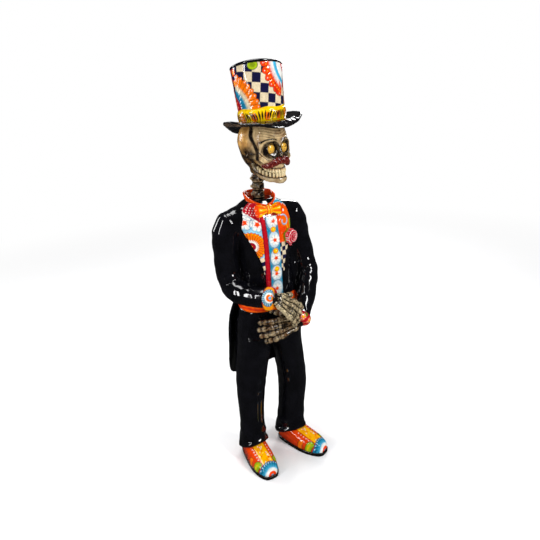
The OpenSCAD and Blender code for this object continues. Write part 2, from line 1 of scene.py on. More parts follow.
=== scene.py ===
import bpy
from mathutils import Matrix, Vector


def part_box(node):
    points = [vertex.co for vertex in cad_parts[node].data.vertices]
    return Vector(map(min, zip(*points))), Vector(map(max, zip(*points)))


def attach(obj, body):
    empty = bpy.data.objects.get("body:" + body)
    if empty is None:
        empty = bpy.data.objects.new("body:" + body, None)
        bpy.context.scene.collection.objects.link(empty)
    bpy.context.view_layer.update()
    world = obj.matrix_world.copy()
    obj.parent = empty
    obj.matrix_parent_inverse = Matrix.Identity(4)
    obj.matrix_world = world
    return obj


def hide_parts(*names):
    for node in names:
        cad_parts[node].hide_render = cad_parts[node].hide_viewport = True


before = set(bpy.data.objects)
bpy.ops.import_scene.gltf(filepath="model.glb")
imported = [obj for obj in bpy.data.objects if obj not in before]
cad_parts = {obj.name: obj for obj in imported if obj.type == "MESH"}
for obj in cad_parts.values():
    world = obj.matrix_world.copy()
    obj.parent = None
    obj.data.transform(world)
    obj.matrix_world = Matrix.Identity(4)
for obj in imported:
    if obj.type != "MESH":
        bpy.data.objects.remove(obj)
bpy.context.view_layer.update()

import bpy
import itertools
import math
import numpy as np
from mathutils import Vector

MM = 0.001
rng = np.random.default_rng(20)

# The axis of the neck rod, and the middle of the figure that the CAD is drawn about, in millimetres
rod_low, rod_high = (np.array(corner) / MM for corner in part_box("neck_rod"))
ROD = (rod_low + rod_high) / 2
FIGURE = np.array([ROD[0], ROD[1] - 18, 0])
HEAD_TURN = math.radians(12)
SKULL_AHEAD = 27
BRIM_Z = 797
HAT_TILT = (math.radians(-4.5), math.radians(-2))


# ---- frames ----
def turn(axis, angle):
    c, s = math.cos(angle), math.sin(angle)
    a, b = [(1, 2), (2, 0), (0, 1)][axis]
    m = np.eye(3)
    m[a, a] = m[b, b] = c
    m[a, b], m[b, a] = -s, s
    return m


class Place:
    """A frame of its own for a piece: points are drawn in it and moved to the row frame."""

    def __init__(self, matrix, origin):
        self.m, self.o = np.array(matrix, float), np.array(origin, float)

    def out(self, p):
        return np.asarray(p) @ self.m.T + self.o

    def into(self, p):
        return (np.asarray(p) - self.o) @ self.m

    def then(self, matrix, origin):
        return Place(self.m @ matrix, self.out(origin))


BODY = Place(np.eye(3), FIGURE)
HEAD = Place(turn(2, HEAD_TURN), [ROD[0], ROD[1], 0]).then(np.eye(3), [0, -SKULL_AHEAD, 0])
HAT = HEAD.then(turn(1, HAT_TILT[1]) @ turn(0, HAT_TILT[0]), [0, 0, BRIM_Z])


def unit(v):
    v = np.asarray(v, float)
    return v / np.linalg.norm(v)


def step(a, b, x):
    t = np.clip((x - a) / (b - a), 0, 1)
    return t * t * (3 - 2 * t)


def mix(a, b, t):
    return a + (b - a) * t


# ---- noise ----
LATTICE = rng.random((32, 32, 32))


def noise(p, size):
    """Smooth value noise from -1 to 1 at points p, with features of that size."""
    q = np.asarray(p, float) / size + 7.3
    i = np.floor(q).astype(int)
    f = q - i
    f = f * f * (3 - 2 * f)
    total = 0
    for d in itertools.product((0, 1), repeat=3):
        w = np.prod([np.where(d[k], f[:, k], 1 - f[:, k]) for k in range(3)], axis=0)
        j = [(i[:, k] + d[k]) % 32 for k in range(3)]
        total = total + w * LATTICE[j[0], j[1], j[2]]
    return total * 2 - 1


def cloudy(p, size, octaves=3):
    return sum(noise(p, size / 2 ** k) / 2 ** k for k in range(octaves))


# ---- solids from distance fields ----
class Grid:
    def __init__(self, low, high, cell):
        self.low, self.cell = np.array(low, float), cell
        n = np.ceil((np.array(high) - self.low) / cell).astype(int) + 1
        self.axes = [self.low[k] + cell * np.arange(n[k]) for k in range(3)]
        self.x, self.y, self.z = np.meshgrid(*self.axes, indexing="ij", sparse=True)

    def ball(self, c, r):
        """Ellipsoid with middle c and radii r."""
        r = np.broadcast_to(np.asarray(r, float), 3)
        k = np.sqrt(((self.x - c[0]) / r[0]) ** 2 + ((self.y - c[1]) / r[1]) ** 2 + ((self.z - c[2]) / r[2]) ** 2)
        return (k - 1) * r.min()

    def rod(self, a, b, ra, rb=None, flat=None):
        """Round cone from a to b; flat squashes it along that axis by the factor given."""
        rb = ra if rb is None else rb
        a, b = np.asarray(a, float), np.asarray(b, float)
        d = b - a
        px, py, pz = self.x - a[0], self.y - a[1], self.z - a[2]
        t = np.clip((px * d[0] + py * d[1] + pz * d[2]) / max(d @ d, 1e-9), 0, 1)
        ex, ey, ez = px - t * d[0], py - t * d[1], pz - t * d[2]
        square = ex ** 2 + ey ** 2 + ez ** 2
        if flat is not None:
            axis, share = flat
            along = ex * axis[0] + ey * axis[1] + ez * axis[2]
            square = square + along ** 2 * (1 / share ** 2 - 1)
        return np.sqrt(square) - (ra + (rb - ra) * t)


def join(a, b, k=0.01):
    h = np.clip(0.5 + 0.5 * (b - a) / k, 0, 1)
    return b + (a - b) * h - k * h * (1 - h)


def cut(a, b, k=0.01):
    return -join(-a, b, k)


def without_specks(field, small):
    """Turns over the grid points that have at most one neighbour on their own side, which would mesh as loose specks."""
    for _ in range(3):
        inside = field < 0
        alike = np.zeros(field.shape, np.uint8)
        for axis in range(3):
            first, second = [slice(None)] * 3, [slice(None)] * 3
            first[axis], second[axis] = slice(0, -1), slice(1, None)
            same = inside[tuple(first)] == inside[tuple(second)]
            alike[tuple(first)] += same
            alike[tuple(second)] += same
        field = np.where(alike < 2, np.where(inside, small, -small), field)
    return field


def nets(grid, field):
    """Surface of a field where it is zero, as points and quads; a shape that leaves the grid is closed there."""
    field = field.copy()
    for side in (0, -1):
        for face in (field[side], field[:, side], field[:, :, side]):
            np.maximum(face, 0.5 * grid.cell, out=face)
    field = without_specks(field, 0.2 * grid.cell)
    inside = field < 0
    n = np.array(field.shape) - 1
    corners = list(itertools.product((0, 1), repeat=3))
    count = np.zeros(n, np.uint8)
    for d in corners:
        count += inside[d[0]:d[0] + n[0], d[1]:d[1] + n[1], d[2]:d[2] + n[2]]
    cells = np.argwhere((count > 0) & (count < 8))
    index = np.full(n, -1, np.int64)
    index[tuple(cells.T)] = np.arange(len(cells))
    value = {d: field[tuple((cells + d).T)] for d in corners}
    total, hits = np.zeros((len(cells), 3)), np.zeros(len(cells))
    for a in corners:
        for axis in range(3):
            if a[axis]:
                continue
            b = tuple(1 if k == axis else a[k] for k in range(3))
            cross = (value[a] < 0) != (value[b] < 0)
            gap = np.where(cross, value[a] - value[b], 1)
            t = np.where(cross, value[a] / gap, 0)
            spot = np.tile(np.array(a, float), (len(cells), 1))
            spot[:, axis] += t
            total += spot * cross[:, None]
            hits += cross
    points = grid.low + grid.cell * (cells + total / hits[:, None])
    quads = []
    for axis in range(3):
        u, v = (axis + 1) % 3, (axis + 2) % 3
        first = [slice(None)] * 3
        second = [slice(None)] * 3
        first[axis], second[axis] = slice(0, -1), slice(1, None)
        here, there = inside[tuple(first)], inside[tuple(second)]
        e = np.argwhere(here != there)
        e = e[(e[:, u] > 0) & (e[:, v] > 0) & (e[:, u] < n[u]) & (e[:, v] < n[v])]
        out = here[tuple(e.T)]
        around = []
        for du, dv in ((-1, -1), (0, -1), (0, 0), (-1, 0)):
            c = e.copy()
            c[:, u] += du
            c[:, v] += dv
            around.append(index[tuple(c.T)])
        q = np.stack(around, 1)
        q[~out] = q[~out][:, ::-1]
        quads.append(q)
    return points, np.concatenate(quads)


def edges_of(faces):
    k = faces.shape[1]
    e = np.concatenate([faces[:, [i, (i + 1) % k]] for i in range(k)])
    return np.unique(np.sort(e, 1), axis=0)


def spread(values, e, n):
    """Mean of each point's neighbours."""
    total = np.zeros((n,) + values.shape[1:])
    flat = values.reshape(n, -1)
    out = total.reshape(n, -1)
    for k in range(flat.shape[1]):
        out[:, k] = np.bincount(e[:, 0], flat[e[:, 1], k], n) + np.bincount(e[:, 1], flat[e[:, 0], k], n)
    degree = np.maximum(np.bincount(e.ravel(), minlength=n), 1)
    return (out / degree[:, None]).reshape(values.shape)


def smooth(points, faces, rounds, keep=True):
    """Rounds of smoothing; keep stops it from shrinking the shape."""
    e = edges_of(faces)
    for _ in range(rounds):
        points = points + 0.5 * (spread(points, e, len(points)) - points)
        if keep:
            points = points - 0.53 * (spread(points, e, len(points)) - points)
    return points


def normals(points, faces):
    a, b, c = points[faces[:, 0]], points[faces[:, 1]], points[faces[:, 2]]
    n = np.cross(b - a, c - a)
    if faces.shape[1] == 4:
        n = np.cross(c - a, points[faces[:, 3]] - b)
    total = np.zeros_like(points)
    for k in range(faces.shape[1]):
        for j in range(3):
            total[:, j] += np.bincount(faces[:, k], n[:, j], len(points))
    return total / np.maximum(np.linalg.norm(total, axis=1), 1e-12)[:, None]


def hollow(points, faces, rounds=6):
    """How deep each point lies in a crease: above 0 in a groove, below 0 on a ridge, in millimetres."""
    e, n = edges_of(faces), normals(points, faces)
    wide = points
    for _ in range(rounds):
        wide = spread(wide, e, len(points))
    return ((wide - points) * n).sum(1)


# ---- meshes ----
def make(name, points, faces, material, body, nodes, colour=None):
    mesh = bpy.data.meshes.new(name)
    points = np.asarray(points, float) * MM
    faces = np.asarray(faces)
    k = faces.shape[1]
    mesh.vertices.add(len(points))
    mesh.vertices.foreach_set("co", points.astype(np.float32).ravel())
    mesh.loops.add(faces.size)
    mesh.loops.foreach_set("vertex_index", faces.astype(np.int32).ravel())
    mesh.polygons.add(len(faces))
    mesh.polygons.foreach_set("loop_start", np.arange(0, faces.size, k, dtype=np.int32))
    mesh.polygons.foreach_set("use_smooth", np.ones(len(faces), bool))
    mesh.update(calc_edges=True)
    mesh.validate()
    if colour is not None:
        layer = mesh.color_attributes.new("paint", "FLOAT_COLOR", "POINT")
        rgba = np.ones((len(points), 4), np.float32)
        rgba[:, :3] = np.clip(colour, 0, 1)
        layer.data.foreach_set("color", rgba.ravel())
    mesh.materials.append(material)
    piece = bpy.data.objects.new(name, mesh)
    bpy.context.scene.collection.objects.link(piece)
    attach(piece, body)
    if nodes:
        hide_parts(*nodes)
    return piece


def without_scraps(points, faces, least=100):
    """Drops the loose patches of fewer than least points, which the voxel remesh can leave."""
    label = np.arange(len(points))
    while True:
        lower = label.copy()
        np.minimum.at(lower, faces.ravel(), np.repeat(label[faces].min(1), faces.shape[1]))
        lower = lower[lower]
        if (lower == label).all():
            break
        label = lower
    keep = (np.bincount(label, minlength=len(points)) >= least)[label]
    index = np.cumsum(keep) - 1
    return points[keep], index[faces[keep[faces[:, 0]]]]


def soften(node, voxel, rounds):
    """Points and faces of a CAD node, cut into even small faces with its edges rounded, in the row frame."""
    copy = bpy.data.objects.new("work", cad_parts[node].data.copy())
    bpy.context.scene.collection.objects.link(copy)
    remesh = copy.modifiers.new("even", "REMESH")
    remesh.mode = "VOXEL"
    remesh.voxel_size = voxel * MM
    made = copy.evaluated_get(bpy.context.evaluated_depsgraph_get()).to_mesh()
    points = np.zeros(len(made.vertices) * 3, np.float32)
    made.vertices.foreach_get("co", points)
    faces = np.zeros(len(made.polygons) * 4, np.int32)
    made.polygons.foreach_get("vertices", faces)
    bpy.data.objects.remove(copy)
    points, faces = points.reshape(-1, 3).astype(float) / MM, faces.reshape(-1, 4)
    points, faces = without_scraps(points, faces)
    return smooth(points, faces, rounds), faces


def lathe(profile, count):
    """Closed solid turned about Z from a profile of (radius, height), the first and last on the axis."""
    body = np.array(profile[1:-1], float)
    t = 2 * math.pi * np.arange(count) / count
    points = np.stack([np.outer(body[:, 0], np.cos(t)), np.outer(body[:, 0], np.sin(t)),
                       np.repeat(body[:, 1:], count, 1)], 2).reshape(-1, 3)
    m = len(body)
    i, j = np.meshgrid(np.arange(m - 1), np.arange(count), indexing="ij")
    a, b = i * count + j, i * count + (j + 1) % count
    faces = np.stack([a, b, b + count, a + count], 2).reshape(-1, 4)
    ends = [[0, 0, profile[0][1]], [0, 0, profile[-1][1]]]
    points = np.vstack([points, ends])
    j = np.arange(0, count, 2)
    low, high = m * count, m * count + 1
    first = np.stack([np.full(len(j), low), (j + 2) % count, (j + 1) % count, j], 1)
    top = (m - 1) * count
    last = np.stack([np.full(len(j), high), top + j, top + (j + 1) % count, top + (j + 2) % count], 1)
    return points, np.vstack([faces, first, last])


# ---- colours and painting ----
def rgb(r, g, b):
    c = np.array([r, g, b]) / 255
    return np.where(c <= 0.04045, c / 12.92, ((c + 0.055) / 1.055) ** 2.4)


NAVY, CREAM, WHITE = rgb(20, 20, 58), rgb(226, 208, 172), rgb(240, 238, 230)
ORANGE, FLAME, YELLOW = rgb(255, 122, 0), rgb(242, 68, 2), rgb(255, 206, 0)
RED, CRIMSON, PINK = rgb(206, 14, 24), rgb(158, 8, 34), rgb(222, 62, 84)
TEAL, SKY, AQUA = rgb(6, 108, 150), rgb(70, 182, 222), rgb(30, 152, 186)
LIME, OLIVE, GREEN = rgb(158, 184, 18), rgb(112, 132, 18), rgb(40, 120, 70)
INK, GOLD = rgb(9, 9, 14), rgb(222, 170, 70)


class Paint:
    """Colours and relief laid over points with flat coordinates u and v, in millimetres."""

    def __init__(self, u, v, base):
        self.u, self.v = u, v
        self.c = np.tile(np.asarray(base, float), (len(u), 1))
        self.h = np.zeros(len(u))

    def put(self, distance, colour, lift=0.0, soft=0.7):
        """Covers what lies inside a signed distance, and lifts it."""
        cover = np.clip(0.5 - distance / soft, 0, 1)
        self.c = mix(self.c, colour, cover[:, None])
        self.h = mix(self.h, lift, cover)

    def polar(self, x, y):
        return np.hypot(self.u - x, self.v - y), np.arctan2(self.v - y, self.u - x)

    def disc(self, x, y, r, colour, lift=0.25, tall=1.0, angle=0.0):
        c, s = math.cos(angle), math.sin(angle)
        a = (self.u - x) * c + (self.v - y) * s
        b = -(self.u - x) * s + (self.v - y) * c
        d = np.hypot(a, b / tall) - r
        self.put(d, colour, lift)
        return d

    def outline(self, distance, width=0.9, colour=INK):
        self.put(abs(distance) - width / 2, colour, -0.1)

    def spots(self, places, r, colour, lift=0.35):
        for x, y in places:
            self.disc(x, y, r, colour, lift)

    def stroke(self, path, width, colour, lift=0.1, taper=0.0):
        """Brush stroke through points, thinner towards its ends by taper."""
        path = np.asarray(path, float)
        best = np.full(len(self.u), 1e9)
        n = len(path) - 1
        for k in range(n):
            a, b = path[k], path[k + 1]
            d = b - a
            t = np.clip(((self.u - a[0]) * d[0] + (self.v - a[1]) * d[1]) / max(d @ d, 1e-9), 0, 1)
            along = (k + t) / n
            half = width / 2 * (1 - taper * (2 * along - 1) ** 2)
            best = np.minimum(best, np.hypot(self.u - a[0] - t * d[0], self.v - a[1] - t * d[1]) - half)
        self.put(best, colour, lift)

    def daisy(self, x, y, r, petals=7, spin=0.0, petal=WHITE, heart=FLAME):
        d, t = self.polar(x, y)
        wave = np.abs(np.cos(petals * (t - spin) / 2))
        edge = d - r * (0.62 + 0.38 * wave ** 0.6)
        self.put(edge, mix(petal, AQUA, 0.25), 0.15)
        self.put(d - r * (0.5 + 0.4 * wave), petal, 0.4)
        self.put(np.maximum(np.abs(wave) * d - 0.35, d - 0.86 * r), mix(INK, TEAL, 0.35), -0.1)
        self.put(d - 0.30 * r, heart, 0.7)
        for k in range(5):
            a = spin + k * 2 * math.pi / 5
            self.disc(x + 0.36 * r * math.cos(a), y + 0.36 * r * math.sin(a), 0.07 * r, FLAME, 0.5)

    def fan(self, x, y, bands, first, last, ribs, scallop=0.05, dots=None):
        """Fan of coloured bands round (x, y): bands are (radius, colour), blended outwards; angles in degrees."""
        d, t = self.polar(x, y)
        a0, a1 = math.radians(first), math.radians(last)
        t = (t - a0) % (2 * math.pi)
        inside = t <= a1 - a0
        outer = bands[-1][0]
        wave = np.abs(np.sin(math.pi * ribs * t / (a1 - a0)))
        rim = d - outer * (1 - scallop + scallop * wave)
        rim = np.where(inside, rim, 99)
        radii = [b[0] for b in bands]
        colour = np.stack([np.interp(d, radii, [b[1][k] for b in bands]) for k in range(3)], 1)
        cover = np.clip(0.5 - rim / 0.7, 0, 1)
        self.c = mix(self.c, colour, cover[:, None])
        self.h = mix(self.h, 0.35 * wave + 0.1, cover)
        start = radii[max(0, len(radii) - 3)]
        rib = np.where(inside, wave * d * (a1 - a0) / ribs / math.pi * 1.0 - 0.35, 99)
        self.put(np.maximum(rib, np.maximum(start - d, rim)), INK, -0.15)
        self.outline(np.where(d > start, rim, 99), 0.8)
        if dots:
            for k in range(ribs):
                a = a0 + (k + 0.5) * (a1 - a0) / ribs
                self.disc(x + dots * math.cos(a), y + dots * math.sin(a), 0.9, WHITE, 0.6)
        return rim

    def checks(self, region, size, angle, x=0.0, y=0.0, dark=NAVY, light=CREAM):
        c, s = math.cos(angle), math.sin(angle)
        a = ((self.u - x) * c + (self.v - y) * s) / size
        b = (-(self.u - x) * s + (self.v - y) * c) / size
        odd = (np.floor(a) + np.floor(b)) % 2 > 0.5
        self.put(region, light, 0.15)
        fa, fb = abs(a - np.round(a)), abs(b - np.round(b))
        inner = np.minimum(fa, fb) * size
        self.put(np.maximum(region, np.where(odd, -inner, inner)), dark, 0.0, 0.6)

    def leaf(self, x, y, length, width, angle, colour=LIME):
        c, s = math.cos(angle), math.sin(angle)
        a = ((self.u - x) * c + (self.v - y) * s) / length
        b = (-(self.u - x) * s + (self.v - y) * c)
        half = width / 2 * np.sqrt(np.clip(1 - (2 * a - 1) ** 2, 0, 1)) * (1.15 - 0.5 * a)
        d = np.where((a > 0) & (a < 1), abs(b) - half, 9)
        self.put(d, colour, 0.3)
        vein = np.abs(b - 0.8 * np.sin(a * 26)) * 1.0 - 0.35
        self.put(np.maximum(d, vein), mix(INK, GREEN, 0.4), -0.1)
        self.outline(d, 0.7)

    def hand_mixed(self, p, share=0.14):
        """Uneven thickness of the glaze: brighter and darker patches at points p."""
        tone = 1 + share * cloudy(p, 7) + 0.5 * share * noise(p, 1.6)
        self.c = np.clip(self.c * tone[:, None], 0, 1)


# ---- materials ----
def glaze(name, base=None, deep=None, rough=(0.05, 0.13), bump=0.12, size=14, coat=0.5, grain=0.0, metal=0.0):
    """Fired glaze: base and deep are its thin and pooled colours, or it takes the painted colours of the piece."""
    m = bpy.data.materials.new(name)
    m.use_nodes = True
    nodes, link = m.node_tree.nodes, m.node_tree.links.new
    shader = nodes["Principled BSDF"]
    where = nodes.new("ShaderNodeTexCoord")

    def speckle(scale, detail):
        n = nodes.new("ShaderNodeTexNoise")
        n.inputs["Scale"].default_value = scale
        n.inputs["Detail"].default_value = detail
        link(where.outputs["Object"], n.inputs["Vector"])
        return n

    def ranged(source, low, high, start=0.3, end=0.7):
        r = nodes.new("ShaderNodeMapRange")
        r.inputs["From Min"].default_value, r.inputs["From Max"].default_value = start, end
        r.inputs["To Min"].default_value, r.inputs["To Max"].default_value = low, high
        link(source, r.inputs["Value"])
        return r.outputs["Result"]

    pool = speckle(1000 / size, 4.0)
    fine = speckle(1000 / 1.5, 2.0)
    blend = nodes.new("ShaderNodeMix")
    blend.data_type = "RGBA"
    if base is None:
        paint = nodes.new("ShaderNodeAttribute")
        paint.attribute_name = "paint"
        blend.blend_type = "MULTIPLY"
        blend.inputs[0].default_value = 1.0
        link(paint.outputs["Color"], blend.inputs[6])
        tone = nodes.new("ShaderNodeValToRGB")
        tone.color_ramp.elements[0].position, tone.color_ramp.elements[0].color = 0.25, (0.74, 0.74, 0.76, 1)
        tone.color_ramp.elements[1].position, tone.color_ramp.elements[1].color = 0.6, (1, 1, 1, 1)
        link(fine.outputs["Fac"], tone.inputs["Fac"])
        link(tone.outputs["Color"], blend.inputs[7])
    else:
        link(ranged(pool.outputs["Fac"], 0.0, 1.0), blend.inputs[0])
        blend.inputs[6].default_value = (*base, 1)
        blend.inputs[7].default_value = (*deep, 1)
    link(blend.outputs[2], shader.inputs["Base Color"])
    link(ranged(pool.outputs["Fac"], *rough), shader.inputs["Roughness"])
    shader.inputs["Metallic"].default_value = metal
    shader.inputs["Coat Weight"].default_value = coat
    shader.inputs["Coat Roughness"].default_value = 0.04
    swell = nodes.new("ShaderNodeBump")
    swell.inputs["Strength"].default_value = bump
    swell.inputs["Distance"].default_value = 0.002
    link(speckle(1000 / (size * 1.3), 1.0).outputs["Fac"], swell.inputs["Height"])
    last = swell
    if grain:
        last = nodes.new("ShaderNodeBump")
        last.inputs["Strength"].default_value = grain
        last.inputs["Distance"].default_value = 0.0006
        link(fine.outputs["Fac"], last.inputs["Height"])
        link(swell.outputs["Normal"], last.inputs["Normal"])
    link(last.outputs["Normal"], shader.inputs["Normal"])
    return m


BLACK_GLAZE = glaze("black_glaze", rgb(5, 5, 7), rgb(12, 12, 17), (0.05, 0.14), 0.2, 22, 0.25)
SOLE_GLAZE = glaze("sole_glaze", rgb(10, 9, 8), rgb(24, 20, 14), (0.12, 0.28), 0.3, 8, 0.2, 0.2)
PAINTED = glaze("painted_glaze", rough=(0.07, 0.16), bump=0.1, size=9, coat=0.5, grain=0.06)
BONE = glaze("bone_glaze", rough=(0.12, 0.3), bump=0.16, size=6, coat=0.35, grain=0.22)
STEEL = glaze("rod_steel", rgb(150, 150, 155), rgb(120, 122, 128), (0.2, 0.35), 0.05, 3, 0.0, 0.1, 1.0)
CLAY = glaze("fired_clay", rgb(168, 104, 66), rgb(140, 82, 50), (0.7, 0.9), 0.3, 4, 0.0, 0.5)

# ---- clothes ----
# Outlines of the torso and the seat: height, half width, half depth, y of the middle; from the middle of the figure
TORSO = np.array([
    [398, 66, 48, 4], [424, 64, 46, 5], [460, 60, 46, 6], [500, 60, 48, 9], [540, 61, 49, 12],
    [575, 62, 47, 15], [600, 62, 42, 17], [616, 57, 37, 18], [629, 44, 31, 18], [638, 27, 27, 18]], float)
SEAT = np.array([[330, 77, 51, 5], [350, 76, 52, 5], [375, 72, 51, 4], [398, 66, 48, 4]], float)
# Trouser legs: height, x and y of the middle, half width, half depth
LEGS = [np.array([
    [38, -63, -4, 35, 42], [62, -61, 0, 32, 36], [105, -59, 5, 29, 31], [180, -56.5, 6, 32, 34],
    [250, -50, 5, 35, 39], [300, -42, 5, 38, 46], [330, -39.3, 5, 39, 49]], float), np.array([
    [38, 44, -2, 35, 42], [62, 47, 1, 32, 36], [105, 52, 5, 30, 31], [180, 57, 6, 34, 34],
    [250, 50, 5, 36, 39], [300, 42, 5, 38, 46], [330, 39.3, 5, 39, 49]], float)]
# Sleeves from shoulder to wrist: x, y, z, radius
ARMS = [np.array([
    [-48, 17, 600, 20], [-62, 17, 600, 24], [-76, 17, 594, 26.5], [-86, 17, 575, 27], [-88, 17, 545, 26],
    [-87.5, 16, 512, 26], [-87, 12, 480, 26], [-86, 0, 458, 24], [-79, -20, 449, 24], [-66, -42, 447, 23],
    [-52, -60, 446, 22], [-41, -72, 446, 21]], float), np.array([
    [48, 17, 600, 20], [62, 17, 600, 24], [76, 17, 594, 26.5], [86, 17, 574, 27], [90, 16, 543, 27],
    [95, 13, 512, 27], [100, 7, 482, 27], [102, -4, 459, 25], [93, -19, 440, 24], [77, -38, 417, 23],
    [59, -54, 396, 22], [47, -64, 383, 21]], float)]


def along(table, z):
    """Columns of a table at heights z, on a smooth curve through its rows."""
    z = np.clip(z, table[0, 0], table[-1, 0])
    i = np.clip(np.searchsorted(table[:, 0], z, side="right") - 1, 0, len(table) - 2)
    slope = np.gradient(table[:, 1:], axis=0) / np.gradient(table[:, 0])[:, None]
    h = (table[i + 1, 0] - table[i, 0])[..., None]
    u = (z - table[i, 0])[..., None] / h
    return (table[i, 1:] * (2 * u ** 3 - 3 * u ** 2 + 1) + table[i + 1, 1:] * (3 * u ** 2 - 2 * u ** 3)
            + h * (slope[i] * (u ** 3 - 2 * u ** 2 + u) + slope[i + 1] * (u ** 3 - u ** 2)))


def column(g, x, y, a, b, e, low, high):
    k = ((abs(g.x - x) / a) ** e + (abs(g.y - y) / b) ** e) ** (1 / e)
    return np.maximum((k - 1) * np.minimum(a, b), np.maximum(low - g.z, g.z - high))


def torso_field(g, table, low, high):
    c = along(table, g.z.ravel()).T.reshape(3, 1, 1, -1)
    return column(g, 0, c[2], c[0], c[1], 2.4, low, high)


def arm_field(g, arm):
    f = None
    for a, b in zip(arm[:-1], arm[1:]):
        r = g.rod(a[:3], b[:3], a[3], b[3])
        f = r if f is None else np.minimum(f, r)
    return f


def arm_distance(p, arm):
    """How far along a sleeve each point lies, and its distance from the middle of the sleeve."""
    best, where, start = np.full(len(p), 1e9), np.zeros(len(p)), 0.0
    for a, b in zip(arm[:-1, :3], arm[1:, :3]):
        d = b - a
        t = np.clip(((p - a) @ d) / (d @ d), 0, 1)
        r = np.linalg.norm(p - a - t[:, None] * d, axis=1)
        where = np.where(r < best, start + t * np.linalg.norm(d), where)
        best = np.minimum(best, r)
        start += np.linalg.norm(d)
    return where, best


def tailcoat():
    g = Grid([-130, -98, 352], [130, 72, 642], 2.0)
    f = torso_field(g, TORSO, 424, 638)
    for arm in ARMS:
        k = 6 + 10 * step(520, 590, g.z)
        f = join(f, arm_field(g, arm), k)
    # clay that closes the space between the left elbow and the body
    f = join(f, g.rod([70, 4, 424], [66, 14, 560], 15, 10), 8)
    points, faces = nets(g, f)
    points = smooth(points, faces, 4)
    n = normals(points, faces)
    folds = 1.1 * cloudy(points * [1, 1, 0.45], 34, 2) * step(424, 470, points[:, 2])
    for side, arm in zip((-1, 1), ARMS):
        s, r = arm_distance(points, arm)
        on_arm = step(40, 28, r)
        # creases gather on the inner side of the elbow and die out along the arm
        bend = np.exp(-((s - 165) / 36) ** 2)
        inner = step(-0.5, 0.6, -n[:, 1] * 0.6 - side * n[:, 0] * 0.8)
        wave = np.sin(s / 3.9 + 2.2 * noise(points, 26) + side)
        folds += on_arm * (1.1 * bend * (0.25 + 0.75 * inner) * wave)
        folds += on_arm * 0.8 * np.sin(s / 9.5 + 3 * noise(points, 40)) * step(30, 80, s)
        # seam where the sleeve is set into the shoulder
        folds -= 1.3 * np.exp(-((s - 26) / 2.2) ** 2) * step(34, 26, r) * step(590, 604, points[:, 2])
    # the fronts are cut away below the lapels
    edge = 22 + 30 * step(484, 424, points[:, 2]) ** 2
    front = step(-10, -24, points[:, 1]) * step(72, 64, abs(points[:, 0]))
    folds += front * 1.6 * step(edge - 1.5, edge + 1.5, abs(points[:, 0])) - front * 0.8
    # seam down the middle of the back
    back = step(30, 45, points[:, 1])
    folds -= back * 0.9 * np.exp(-(points[:, 0] / 1.6) ** 2)
    points = points + n * folds[:, None]
    points = smooth(points, faces, 1)
    make("tailcoat", BODY.out(points), faces, BLACK_GLAZE, "figure",
         ["jacket_body", "right_sleeve", "left_sleeve"])


def trousers():
    g = Grid([-106, -60, 18], [94, 66, 402], 2.0)
    f = torso_field(g, SEAT, 322, 398)
    for leg in LEGS:
        c = along(leg, g.z.ravel()).T.reshape(4, 1, 1, -1)
        hem = 38 - 0.4 * (g.y - c[1])
        # the legs run together only near the crotch, so the hips have no ledge
        f = join(f, column(g, c[0], c[1], c[2], c[3], 2.2, hem, 334), 0.6 + 9 * np.exp(-(g.x / 24) ** 2))
    points, faces = nets(g, f)
    points = smooth(points, faces, 14)
    n = normals(points, faces)
    z = points[:, 2]
    folds = 1.0 * cloudy(points * [1, 1, 0.3], 26, 2)
    for side, leg in zip((-1, 1), LEGS):
        c = along(leg, z)
        own = step(-3, 3, side * points[:, 0]) * step(345, 300, z)
        t = np.arctan2(points[:, 1] - c[:, 1], points[:, 0] - c[:, 0])
        # pressed crease down the front, creases at the knee, and cloth that gathers over the shoe
        folds += own * 1.5 * np.exp(-((t + math.pi / 2) * 34 / 3.5) ** 2) * step(60, 120, z)
        knee = np.exp(-((z - 205) / 30) ** 2)
        folds += own * 0.5 * knee * np.sin(z / 5.5 + 2.5 * np.sin(t + side) + 2 * noise(points, 30))
        gather = step(120, 60, z)
        folds += own * 1.3 * gather * np.sin(z / 6.0 + 1.8 * np.sin(2 * t + 1.0) + 2.5 * noise(points, 28))
        folds += own * 1.4 * np.sin(2 * t + z / 60 + side)
        # turned hem
        folds += own * 1.2 * step(6, 2, abs(z - (40 - 0.4 * (points[:, 1] - c[:, 1])) - 3))
    # darts that run out from the crotch
    fork = np.hypot(points[:, 0], z - 335)
    folds += 1.3 * np.exp(-(fork / 55) ** 2) * np.sin(np.arctan2(z - 330, points[:, 0]) * 9)
    points = smooth(points + n * folds[:, None], faces, 1)
    make("trousers", BODY.out(points), faces, BLACK_GLAZE, "figure",
         ["right_trouser_leg", "left_trouser_leg", "trouser_seat"])


def tails():
    for side in ("right", "left"):
        points, faces = soften(side + "_coat_tail", 1.7, 5)
        n = normals(points, faces)
        fold = 1.2 * np.sin(points[:, 0] / 7 + 2 * noise(points * [1, 1, 0.35], 40)) * step(430, 340, points[:, 2])
        points = points + n * (fold + 0.6 * cloudy(points, 22, 2))[:, None]
        make(side + "_coat_tail_glazed", points, faces, BLACK_GLAZE, "figure", [side + "_coat_tail"])


def sash():
    points, faces = soften("sash", 1.3, 4)
    p = BODY.into(points)
    n = normals(points, faces)
    t = np.arctan2(p[:, 1] - 5, p[:, 0])
    lift = 0.9 * np.sin(p[:, 2] / 2.1 + 0.8 * np.sin(5 * t) + noise(p, 20)) + 0.6 * cloudy(p, 14, 2)
    art = Paint(t * 60, p[:, 2], FLAME)
    # painted light: the raised folds painted lighter orange as painted highlights, and the hollows between them deeper
    # crimson as painted shade
    art.put(-lift * 0.8 + 0.1, mix(FLAME, ORANGE, 0.45))
    art.put(lift + 0.75, mix(FLAME, CRIMSON, 0.55))
    art.hand_mixed(p, 0.2)
    make("orange_sash", points + n * lift[:, None] * 0.6, faces, PAINTED, "figure", ["sash"], art.c)


# ---- shoes ----
FEET = {"right": (-65, 1, 1), "left": (44, 0, 25)}
TOE = 105


